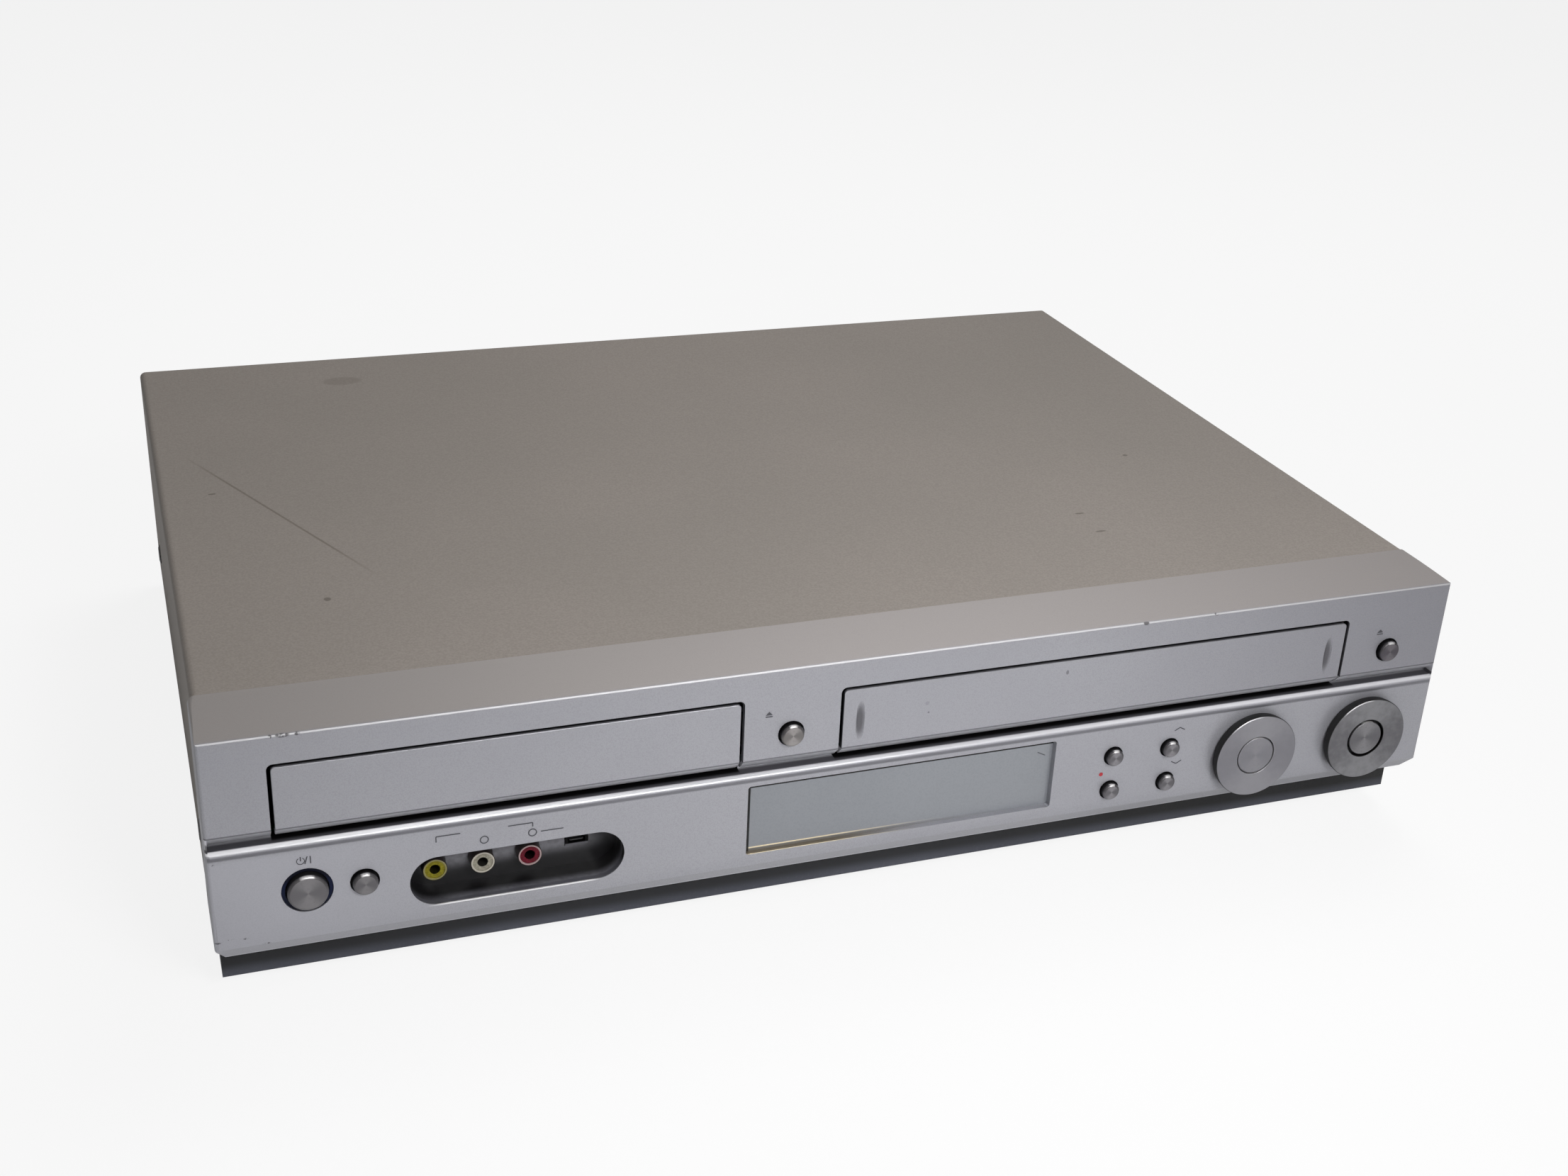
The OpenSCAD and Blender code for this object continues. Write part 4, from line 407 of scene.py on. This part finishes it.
# Painted highlights on the lower edges of the window and the recess, and painted shade just
# behind the window's
window_sill = z.rise(0.0296, 0.0298) * z.fall(0.0306, 0.0309) * y.rise(-0.1629, -0.1627)
window_sill = window_sill * x.rise(-0.0476, -0.0470) * x.fall(-0.020, 0.020)
silver = window_sill.mix(
    silver, y.rise(-0.1626, -0.1624).mix(ink(250, 238, 212), ink(104, 96, 82)))
recess_edge = z.rise(0.0300, 0.0302) * z.fall(0.0305, 0.0306) * y.fall(-0.1627, -0.1625)
recess_edge = recess_edge * x.rise(-0.1520, -0.1440) * x.fall(-0.1010, -0.0950)
recess_edge.mix(silver, ink(250, 249, 250)).into(surface, "Base Color")
(0.34 + flake * 0.1 + drift * 0.04 - roll * 0.1).into(surface, "Roughness")
(0.45 - roll * 0.45).into(surface, "Metallic")
flake.bump(0.000008, 0.3).into(surface, "Normal")
dress(front_silver, "front_bezel", "tray_door", "cassette_flap")
soften(0.3, "front_bezel", "tray_door", "cassette_flap")


# ---- Printed symbols -----------------------------------------------------------------
# Small pad-printed marks in dark grey: a standby sign, two eject signs, lines and rings
# over the jacks, two chevrons and a red record dot.
def at_face(across, depth, height):
    """A point in millimetres from the middle of the front's top edge, in the part's frame."""
    return Vector((across / 1000, face + depth / 1000, top_edge + height / 1000))


def stroke(points, width):
    """A line of even width through points, as four-cornered shapes."""
    shapes = []
    for (ax, az), (bx, bz) in zip(points, points[1:]):
        length = math.hypot(bx - ax, bz - az)
        sx, sz = -(bz - az) / length * width / 2, (bx - ax) / length * width / 2
        shapes.append([(ax + sx, az + sz), (bx + sx, bz + sz),
                       (bx - sx, bz - sz), (ax - sx, az - sz)])
    return shapes


def arc_points(cx, cz, radius, start=0, end=360, step=15):
    """Points of an arc about (cx, cz), between two angles in degrees."""
    return [(cx + radius * math.cos(math.radians(a)), cz + radius * math.sin(math.radians(a)))
            for a in range(start, end + 1, step)]


def printed(name, shapes, material):
    """Flat marks a hair proud of the front face; a shape is a list of (across, height) points."""
    verts, faces = [], []
    for shape in shapes:
        faces.append(tuple(range(len(verts), len(verts) + len(shape))))
        verts += [at_face(across, -0.1, height) for across, height in shape]
    return piece(name, verts, faces, material, "case")


print_grey, surface, place = finish("print_grey", {"Specular IOR Level": 0.3})
tone = place.noise(4000.0)
tone.mix(ink(66, 66, 71), ink(84, 84, 89)).into(surface, "Base Color")
(0.45 + tone * 0.15).into(surface, "Roughness")
print_red, surface, place = finish("print_red", {"Specular IOR Level": 0.3})
tone = place.noise(4000.0)
tone.mix(ink(158, 46, 54), ink(176, 62, 68)).into(surface, "Base Color")
(0.45 + tone * 0.15).into(surface, "Roughness")
marks = stroke(arc_points(-188.1, -43.8, 1.15, 120, 420), 0.24)
for line in ([(-188.1, -43.8), (-188.1, -42.3)], [(-186.9, -45.0), (-186.1, -42.4)],
             [(-185.2, -45.0), (-185.2, -42.4)],
             [(-147.7, -44.4), (-147.7, -42.4), (-140.2, -42.4)],
             [(-125.4, -42.4), (-117.7, -42.4), (-117.7, -43.8)],
             [(-115.2, -46.0), (-108.0, -46.0)],
             [(109.2, -44.2), (111.2, -43.1), (113.2, -44.2)],
             [(109.6, -56.6), (111.6, -57.7), (113.6, -56.6)],
             arc_points(-132.9, -46.0, 1.25), arc_points(-117.8, -46.0, 1.25)):
    marks += stroke(line, 0.35)
for across, height in ((-41.3, -15.7), (188.0, -16.1)):
    marks.append([(across - 1.2, height), (across + 1.2, height), (across, height + 1.3)])
    marks += stroke([(across - 1.2, height - 0.55), (across + 1.2, height - 0.55)], 0.4)
printed("printed_marks", marks, print_grey)
printed("record_dot", [arc_points(82.0, -57.4, 0.75)[:-1]], print_red)

# ---- Disc tray -----------------------------------------------------------------------
# The tray is one black moulding with a round bed for the disc and a rack under its left
# edge. Its silver door is a moulding of its own that clips to the front.
black_plastic, surface, place = finish("black_plastic", {"IOR": 1.5})
pebble = place.noise(2600.0, 2.0)
worn = place.noise(25.0, 3.0)
black = pebble.rise(0.3, 0.7).mix(ink(27, 27, 29), ink(36, 36, 38))
(worn.rise(0.5, 0.75) * 0.3).mix(black, ink(50, 49, 49)).into(surface, "Base Color")
(0.36 + pebble * 0.16 + worn * 0.08).into(surface, "Roughness")
pebble.bump(0.00003, 0.6).into(surface, "Normal")
dress(black_plastic, "disc_tray")
soften(0.3, "disc_tray")

# ---- Cassette flap's spring ----------------------------------------------------------
# A coil of drawn spring wire round the flap's left pin, with one leg reaching back. It
# holds the flap shut.
spring_wire, surface, place = finish("spring_wire", {"Metallic": 1.0})
drawn = place.noise(3000.0)
drawn.mix(ink(150, 150, 152), ink(185, 185, 188)).into(surface, "Base Color")
(0.22 + drawn * 0.15).into(surface, "Roughness")
drawn.bump(0.00001, 0.4).into(surface, "Normal")
dress(spring_wire, "flap_spring")

# ---- Display window and its module ---------------------------------------------------
# A sheet of smoked grey acrylic behind the opening, near the colour of the front, with
# painted shadow along its top and left edges and one small scratch. Along its foot lie a
# painted reflection and painted shade. A dark display glass lies behind.
window_grey, surface, place = finish("window_grey", {"Metallic": 0.3, "IOR": 1.5})
x, _, z = place.split()
mist = place.noise(18.0, 2.0)
grit = place.noise(1800.0, 2.0)
smoke = mist.rise(0.3, 0.7).mix(ink(133, 136, 141), ink(139, 142, 147))
smoke = (grit.rise(0.4, 0.7) * 0.25).mix(smoke, ink(122, 125, 130))
# Painted shadow along the top and left edges, joined with the scratch
line = z.rise(0.0542, 0.0545).over(x.fall(-0.0458, -0.0455))
line = line.over(scratch(x, z, (0.0573, 0.0517), (0.0607, 0.0499), 0.00025, 0.0005) * 0.7)
# A painted reflection along the sill, and painted shade below it
sill_light = z.rise(0.0312, 0.0314) * z.fall(0.0316, 0.0318) * x.fall(-0.030, 0.030)
sill_shade = z.fall(0.0310, 0.0312) * x.fall(-0.020, 0.060)
smoke = (sill_light * 0.8).mix(smoke, ink(232, 216, 180))
smoke = (sill_shade * 0.6).mix(smoke, ink(96, 88, 74))
line.mix(smoke, ink(8, 8, 9)).into(surface, "Base Color")
(0.2 + mist * 0.05 + grit * 0.03).into(surface, "Roughness")
mist.bump(0.00002, 0.3).into(surface, "Normal")
dress(window_grey, "display_window")
display_glass, surface, place = finish("display_glass", {"IOR": 1.5})
mesh_lines = place.cells(400.0)
mesh_lines.mix(ink(14, 24, 24), ink(22, 34, 33)).into(surface, "Base Color")
(0.1 + mesh_lines * 0.1).into(surface, "Roughness")
mesh_lines.bump(0.00001, 0.3).into(surface, "Normal")
dress(display_glass, "display_module")

# ---- Recess for the front jacks ------------------------------------------------------
# A stadium-shaped cup in dark grey plastic behind the front. It has painted light at its lip,
# more towards the right, and at the top of its back wall, and painted shade, nearly black, in
# the corner between them.
recess_grey, surface, place = finish("recess_grey", {"IOR": 1.5})
x, y, z = place.split()
tone = place.noise(600.0, 3.0)
wall = x.rise(-0.155, -0.138).mix(ink(80, 80, 86), ink(126, 126, 134))
wall = y.rise(-0.1628, -0.1570).mix(wall, ink(18, 17, 19))
middle = x.rise(-0.151, -0.141) * (1.0 - x.rise(-0.105, -0.092) * 0.7)
back_wall = (z.rise(0.0338, 0.0402) ** 1.5 * middle).mix(ink(16, 15, 18), ink(122, 121, 127))
shade = y.rise(-0.1560, -0.1545).mix(wall, back_wall)
(tone.rise(0.4, 0.7) * 0.25).mix(shade, ink(26, 25, 25)).into(surface, "Base Color")
(0.3 + tone * 0.15).into(surface, "Roughness")
tone.bump(0.00002, 0.4).into(surface, "Normal")
dress(recess_grey, "jack_recess")


# ---- Front jacks ---------------------------------------------------------------------
# Three turned phono jacks on a board behind the recess: a dark barrel with a pale rim, and
# inside it a ring of moulded plastic round the bore, yellow, white and red from the left.
def lathe(profile, steps=96):
    """Points and faces of (radius, depth) pairs turned about the level axis, from millimetres."""
    verts = [(r * math.cos(math.tau * i / steps) / 1000, d / 1000,
              r * math.sin(math.tau * i / steps) / 1000) for i in range(steps) for r, d in profile]
    size, faces = len(profile), []
    for i in range(steps):
        a, b = i * size, (i + 1) % steps * size
        for k in range(size - 1):
            corners = [a + k, b + k, b + k + 1, a + k + 1]
            if profile[k][0] == 0:
                corners = [a + k, b + k + 1, a + k + 1]
            elif profile[k + 1][0] == 0:
                corners = [a + k, b + k, a + k + 1]
            faces.append(corners)
    return verts, faces


def bend(radius, depth, size, start, end, steps=8):
    """Points of an arc of that size in a profile, about (radius, depth)."""
    return [(radius + size * math.cos(math.radians(start + (end - start) * i / steps)),
             depth - size * math.sin(math.radians(start + (end - start) * i / steps)))
            for i in range(steps + 1)]


def from_axis(place):
    """How far a point is from the level axis through a piece's centre."""
    x, _, z = place.split()
    return (x * x + z * z) ** 0.5


# From the bottom of the bore out over the coloured ring and the rim to the barrel's back
jack_profile = ([(0, 6.6), (1.62, 6.6), (1.62, 0.35)] + bend(1.78, 0.5, 0.15, 180, 90, 3)
                + [(3.18, 0.35), (3.18, 0.12)] + bend(3.28, 0.12, 0.12, 180, 90, 3)
                + bend(3.62, 0.28, 0.28, 90, 0, 5) + [(3.9, 8.0), (0, 8.0)])
for name, across, deep_tone, pale_tone, pale_rim in (
        ("yellow", -147.4, (104, 96, 14), (130, 122, 24), (132, 126, 84)),
        ("white", -132.4, (124, 120, 107), (154, 150, 136), (176, 171, 160)),
        ("red", -117.4, (74, 4, 20), (100, 8, 32), (158, 138, 138))):
    made, surface, place = finish("jack_" + name, {"Specular IOR Level": 0.2})
    reach = from_axis(place)
    speck = place.noise(1600.0, 2.0)
    colour = speck.rise(0.35, 0.7).mix(ink(*deep_tone), ink(*pale_tone))
    colour = reach.rise(0.00312, 0.00322).mix(colour, ink(*pale_rim))
    colour = reach.rise(0.00362, 0.00372).mix(colour, ink(46, 39, 37))
    # Painted shade in the bore
    colour = reach.fall(0.00160, 0.00172).mix(colour, ink(12, 11, 11))
    colour.into(surface, "Base Color")
    (0.28 + speck * 0.14).into(surface, "Roughness")
    speck.bump(0.00001, 0.4).into(surface, "Normal")
    verts, faces = lathe(jack_profile)
    jack = piece("jack_" + name, verts, faces, made, "case", at_face(across, 6.0, -58.4))
    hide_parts("front_jacks")

# ---- Camcorder socket ----------------------------------------------------------------
# A black four-pin socket in moulded plastic at the right of the recess, with a grey lower
# lip and a grey tongue inside it that carries the contacts.
socket_black, surface, place = finish("socket_black", {"Specular IOR Level": 0.1})
speck = place.noise(1500.0, 2.0)
lower_lip = place.split()[2].fall(0.0384, 0.0387)
lower_lip.mix(speck.mix(ink(3, 3, 4), ink(9, 9, 10)), ink(94, 93, 98)).into(surface, "Base Color")
(0.4 + speck * 0.2).into(surface, "Roughness")
speck.bump(0.00001, 0.4).into(surface, "Normal")
dress(socket_black, "camera_socket")
tongue_grey, surface, place = finish("tongue_grey", {"IOR": 1.5})
speck = place.noise(1500.0, 2.0)
speck.mix(ink(24, 24, 26), ink(34, 34, 36)).into(surface, "Base Color")
(0.35 + speck * 0.15).into(surface, "Roughness")
speck.bump(0.00001, 0.4).into(surface, "Normal")
outline = [(-2.2, -0.28), (2.2, -0.28), (2.3, -0.18), (2.3, 0.18), (2.2, 0.28), (-2.2, 0.28),
           (-2.3, 0.18), (-2.3, -0.18)]
verts = [(a * shrink / 1000, depth / 1000, b * shrink / 1000)
         for depth, shrink in ((0.0, 0.9), (0.15, 1.0), (3.0, 1.0)) for a, b in outline]
sides = len(outline)
faces = [tuple(range(sides)), tuple(range(2 * sides, 3 * sides))]
faces += [(start + i, start + (i + 1) % sides, start + sides + (i + 1) % sides, start + sides + i)
          for start in (0, sides) for i in range(sides)]
piece("camera_socket_tongue", verts, faces, tongue_grey, "case", at_face(-101.35, 10.4, -57.9))

# ---- Power button's ring -------------------------------------------------------------
# A moulded ring of dark blue plastic fills the gap round the largest button. It has painted
# light at both flanks, and is nearly black above and below.
ring_blue, surface, place = finish("ring_blue", {"IOR": 1.4, "Specular IOR Level": 0.25})
z = place.split()[2]
mottle = place.noise(900.0, 2.0)
blue = mottle.mix(ink(5, 7, 18), ink(9, 12, 30))
# Painted light at both flanks
flank_light = z.rise(0.0360, 0.0420) * z.fall(0.0450, 0.0480)
(flank_light * 0.7).mix(blue, ink(13, 25, 56)).into(surface, "Base Color")
(0.42 + mottle * 0.16).into(surface, "Roughness")
mottle.bump(0.00001, 0.3).into(surface, "Normal")
dress(ring_blue, "power_ring")


# ---- Round buttons -------------------------------------------------------------------
# Each cap is turned and lacquered like spun metal: a flat cone with a painted sheen in two
# wedges, a rounded shoulder with a painted dark reflection and a painted glint at its top, and
# a side in painted shade, with a collar and a stem behind the face.
def round_axis(place):
    """Which way a point is from that axis: -1 above and below it, 1 beside it."""
    x, _, z = place.split()
    return (x * x - z * z) / (x * x + z * z).over(1e-9)


def spun(name, light, dark, shoulder_r, side=(20, 19, 20), wedge=0.5,
         depths=(-0.0017, -0.0011)):
    """Spun metal with a painted sheen, light in the wedges above and below and dark between; a
    painted dark reflection on the upper shoulder from that radius in millimetres, with a painted
    glint at its top; and behind those depths the side's tone, painted shade where it is dark and
    painted light where it is pale."""
    made, surface, place = finish(name, {"Metallic": 0.55})
    reach, way = from_axis(place), round_axis(place)
    rings = reach.node("ShaderNodeTexNoise",
                       {"noise_dimensions": "1D"}, {"W": reach * 4000.0, "Scale": 1.0})
    dust = place.noise(900.0, 3.0)
    # A painted sheen in two wedges, crossed by the turned rings
    sheen = (0.5 - way * wedge + (rings - 0.5) * 0.35).rise(0.0, 1.0)
    colour = sheen.mix(ink(*dark), ink(*light))
    colour = (dust.rise(0.5, 0.7) * 0.25).mix(colour, ink(*dark))
    up = place.split()[2] / reach.over(0.0001)
    # A painted dark reflection on the upper shoulder, and a painted glint at its top
    shoulder = reach.rise((shoulder_r - 0.6) / 1000, (shoulder_r - 0.4) / 1000)
    colour = (shoulder * up.rise(-0.2, 0.4) * 0.85).mix(colour, ink(74, 72, 74))
    glint = shoulder * up.rise(0.90, 0.99)
    colour = (glint * 0.85).mix(colour, ink(222, 220, 220))
    # The side behind those depths in its painted tone: shade where dark, light where pale
    edge = place.split()[1].rise(*depths)
    edge.mix(colour, ink(*side)).into(surface, "Base Color")
    (0.3 + dust * 0.12 + rings * 0.06).into(surface, "Roughness")
    rings.bump(0.000004, 0.5).into(surface, "Normal")
    return made


stem_r, stem_end = 1.6, 9.0


def button(name, across, height, cap_r, collar_r, material, shoulder, rest):
    """A push button with its collar at that depth behind the face, in millimetres."""
    proud, blunt = 2.3, 0.15
    profile = [(0, 0.12 - proud), (cap_r * 0.5, 0.06 - proud)]
    profile += bend(cap_r - shoulder, shoulder - proud, shoulder, 90, 0)
    profile += [(cap_r, rest), (collar_r - blunt, rest), (collar_r, rest + blunt),
                (collar_r, rest + 1 - blunt), (collar_r - blunt, rest + 1),
                (stem_r, rest + 1), (stem_r, stem_end), (0, stem_end)]
    verts, faces = lathe(profile, 80)
    made = piece(name + "_cap", verts, faces, material, name, at_face(across, 0, height))
    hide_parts(name)


large_metal = spun("large_spun_metal", (130, 128, 130), (106, 104, 107), 5.9, (44, 43, 45))
middle_metal = spun("middle_spun_metal", (126, 124, 126), (102, 100, 103), 3.65)
tray_metal = spun("tray_spun_metal", (150, 146, 145), (114, 111, 110), 3.65)
dim_metal = spun("dim_spun_metal", (108, 104, 109), (82, 78, 84), 3.65)
small_metal = spun("small_spun_metal", (134, 132, 136), (98, 96, 100), 2.9)
button("power_button", -186.7, -54.4, 6.15, 7.55, large_metal, 1.0, 3.2)
button("scan_button", -169.6, -54.4, 3.85, 5.7, middle_metal, 0.85, 2.2)
button("tray_button", -33.5, -23.4, 3.85, 5.7, tray_metal, 0.85, 2.2)
button("eject_button", 192.3, -23.4, 3.85, 5.7, dim_metal, 0.85, 2.2)
for name, across, height in (("source_button", 85.95, -50.6), ("record_button", 85.95, -64.15),
                             ("channel_up_button", 108.0, -50.6),
                             ("channel_down_button", 108.0, -64.15)):
    button(name, across, height, 3.1, 4.85, small_metal, 0.8, 2.2)

# ---- Control discs -------------------------------------------------------------------
# Two moulded discs with a satin metal finish and a painted sheen in two wedges, a painted glint
# on the upper rim, a side in painted shade and a tube that reaches back through the face. Wear
# mottles the right one more than the left. The bore's edge is painted light on the left disc
# and painted shade on the right one.
# The profile runs out over the face and the rim, and in along the back to the tube.
disc_profile = ([(7.5, -1.9), (7.5, -3.4), (7.6, -3.5), (15.2, -3.93)]
                + bend(15.48, -3.48, 0.52, 105, 0, 8)
                + [(15.9, -2.2), (15.6, -0.7), (9.4, -0.7), (9.4, 6.5), (8.2, 6.5), (8.2, -2.1)])
for name, across, light, dark, groove, wear in (
        ("jog_disc", 141.9, (144, 143, 148), (122, 121, 127), (150, 149, 153), 0.2),
        ("menu_ring", 187.9, (132, 132, 135), (98, 97, 101), (16, 15, 16), 0.45)):
    made, surface, place = finish(name + "_metal")
    reach, way = from_axis(place), round_axis(place)
    mottle = place.noise(420.0, 3.0)
    # A painted sheen in two wedges, mottled by wear
    sheen = (0.5 - way * 0.3 + (mottle - 0.5) * wear * 2.0).rise(0.0, 1.0)
    colour = sheen.mix(ink(*dark), ink(*light))
    # The bore's edge in painted light on the left disc and painted shade on the right
    colour = reach.fall(0.0075, 0.0078).mix(colour, ink(*groove))
    x, y, z = place.split()
    # A painted glint on the upper rim
    rim = reach.rise(0.01530, 0.01550) * (z * 0.87 - x * 0.35) / reach.over(0.001)
    colour = (rim.rise(0.84, 0.91) * 0.8).mix(colour, ink(216, 215, 218))
    # The rim's side and back in painted shade
    side = y.rise(-0.0034, -0.0031) * reach.rise(0.0090, 0.0100)
    side = side.over(reach.rise(0.01578, 0.01588))
    side.mix(colour, ink(12, 11, 12)).into(surface, "Base Color")
    (0.5 - side * 0.5).into(surface, "Metallic")
    (0.3 + mottle * 0.14 + side * 0.3).into(surface, "Roughness")
    mottle.bump(0.00001, 0.4).into(surface, "Normal")
    verts, faces = lathe(disc_profile, 128)
    made_disc = piece(name + "_turned", verts, faces, made, name, at_face(across, 0, -57.3))
    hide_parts(name)

# The centre buttons sit in the discs' bores: a smooth flat one at the left, and a dished
# one with turned rings at the right. Each has a collar and a stem behind its cap.
# The left button's side gets painted light and the right one's painted shade
for name, across, cap_r, dish, light, dark, side, wedge, depths in (
        ("jog_button", 141.9, 7.1, 0.0, (140, 139, 144), (124, 123, 129), (150, 149, 153), 0.25,
         (-0.0033, -0.0030)),
        ("menu_button", 187.9, 6.6, 0.5, (134, 133, 136), (96, 95, 99), (12, 11, 12), 0.3,
         (-0.0028, -0.0024))):
    made = spun(name + "_metal", light, dark, cap_r + 0.4, side, wedge, depths)
    profile = [(cap_r * step / 8, -3.5 + dish * (1 - (step / 8) ** 2)) for step in range(8)]
    profile += bend(cap_r - 0.35, -3.15, 0.35, 90, 0, 5)
    profile += [(cap_r, -1.6), (7.8, -1.6), (7.8, -0.4), (stem_r, -0.4), (stem_r, stem_end),
                (0, stem_end)]
    verts, faces = lathe(profile, 112)
    cap = piece(name + "_cap", verts, faces, made, name, at_face(across, 0, -57.3))
    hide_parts(name)

# ---- Menu ring's gimbal and the small gears ------------------------------------------
# Natural acetal parts behind the face: the ring that lets the menu ring rock both ways,
# the tray's two gears and the disc clamper.
natural_plastic, surface, place = finish("natural_plastic", {"IOR": 1.45})
tone = place.noise(200.0, 3.0)
tone.rise(0.3, 0.7).mix(ink(216, 212, 197), ink(230, 227, 213)).into(surface, "Base Color")
(0.36 + tone * 0.2).into(surface, "Roughness")
tone.bump(0.00002, 0.3).into(surface, "Normal")
dress(natural_plastic, "menu_gimbal", "tray_gear", "motor_gear", "disc_clamper")

# ---- Circuit boards ------------------------------------------------------------------
# Green boards behind the front and on the floor, with switches and chips, and a brown
# paper board for the mains side.
board_green, surface, place = finish("board_green", {"IOR": 1.5})
tracks = place.cells(260.0)
tracks.rise(0.2, 0.7).mix(ink(24, 78, 42), ink(36, 98, 56)).into(surface, "Base Color")
(0.32 + tracks * 0.15).into(surface, "Roughness")
tracks.bump(0.00003, 0.4).into(surface, "Normal")
dress(board_green, "switch_boards", "circuit_boards")
board_brown, surface, place = finish("board_brown", {"IOR": 1.5})
fibres = place.cells(180.0)
fibres.rise(0.2, 0.7).mix(ink(146, 114, 62), ink(168, 134, 80)).into(surface, "Base Color")
(0.45 + fibres * 0.15).into(surface, "Roughness")
fibres.bump(0.00003, 0.4).into(surface, "Normal")
dress(board_brown, "power_board")

# ---- Disc loader ---------------------------------------------------------------------
# A black frame carries the tray. The motor's can, the traverse and the clamp bridge are
# plated steel, and the pickup is die-cast.
dress(black_plastic, "loader_frame", "turntable")
plated_steel, surface, place = finish("plated_steel", {"Metallic": 0.85})
rolled = place.scaled(30.0, 400.0, 400.0).noise(1.0, 3.0)
blotch = place.noise(30.0, 3.0)
plate = rolled.rise(0.3, 0.7).mix(ink(156, 158, 160), ink(178, 180, 182))
(blotch.rise(0.5, 0.75) * 0.3).mix(plate, ink(140, 138, 132)).into(surface, "Base Color")
(0.28 + rolled * 0.16 + blotch * 0.08).into(surface, "Roughness")
rolled.bump(0.00001, 0.4).into(surface, "Normal")
dress(plated_steel, "loading_motor", "traverse_frame", "clamp_bridge")
pickup_metal, surface, place = finish("pickup_metal", {"Metallic": 0.7})
cast = place.noise(700.0, 3.0)
cast.mix(ink(92, 94, 100), ink(118, 120, 126)).into(surface, "Base Color")
(0.38 + cast * 0.2).into(surface, "Roughness")
cast.bump(0.00003, 0.5).into(surface, "Normal")
dress(pickup_metal, "pickup")

# ---- Tape deck -----------------------------------------------------------------------
# A zinc-plated deck plate with a bright turned drum, black reel tables, steel guides and
# a rubber pinch roller.
dress(plated_steel, "deck_chassis", "lift_housing", "cassette_carrier", "capstan",
      "pinch_arm", "left_tape_guide", "right_tape_guide", "tape_heads")
turned_aluminium, surface, place = finish("turned_aluminium", {"Metallic": 1.0})
rings = place.scaled(40.0, 40.0, 4000.0).noise(1.0, 2.0)
rings.rise(0.3, 0.7).mix(ink(194, 196, 199), ink(214, 216, 219)).into(surface, "Base Color")
(0.18 + rings * 0.16).into(surface, "Roughness")
rings.bump(0.000005, 0.4).into(surface, "Normal")
dress(turned_aluminium, "drum_base", "head_drum")
dress(black_plastic, "supply_reel", "takeup_reel")
dress(foot_rubber, "pinch_roller")

# ---- Back: sockets, aerial unit, mains inlet and fan ---------------------------------
# Eighteen phono sockets in a black block, each with a coloured plastic ring pressed into
# its front; plated aerial sockets, a black inlet and a black fan.
dress(black_plastic, "rear_sockets", "mains_inlet", "cooling_fan", "fan_rotor")
dress(plated_steel, "antenna_unit")
yellow, white = ((168, 150, 34), (196, 178, 52)), ((196, 193, 180), (214, 211, 200))
red, blue = ((140, 22, 34), (166, 34, 44)), ((30, 52, 120), (44, 70, 146))
green, dull_black = ((24, 96, 52), (36, 118, 68)), ((34, 34, 36), (48, 48, 50))
# The section of a ring, whose rounded end stands a little proud of the socket
ring = ([(2.2, 1.4), (2.2, 0.1)] + bend(2.35, 0.1, 0.15, 180, 90, 3)
          + bend(3.35, 0.1, 0.15, 90, 0, 3) + [(3.5, 1.4), (2.2, 1.4)])
for row, inks in enumerate((
        (yellow, yellow, white, white, green, yellow, white, white, dull_black),
        (yellow, yellow, red, red, blue, red, red, red, dull_black))):
    for column, (deep_tone, pale_tone) in enumerate(inks):
        name = "socket_ring_%d_%d" % (row + 1, column + 1)
        made, surface, place = finish(name, {"IOR": 1.5})
        speck = place.noise(1400.0, 2.0)
        speck.rise(0.3, 0.7).mix(ink(*deep_tone), ink(*pale_tone)).into(surface, "Base Color")
        (0.3 + speck * 0.14).into(surface, "Roughness")
        speck.bump(0.00001, 0.4).into(surface, "Normal")
        verts, faces = lathe([(r, -d) for r, d in ring], 48)
        piece(name, verts, faces, made, "case",
              (-0.070 + 0.014 * column, 0.1658, 0.0600 - 0.014 * row))
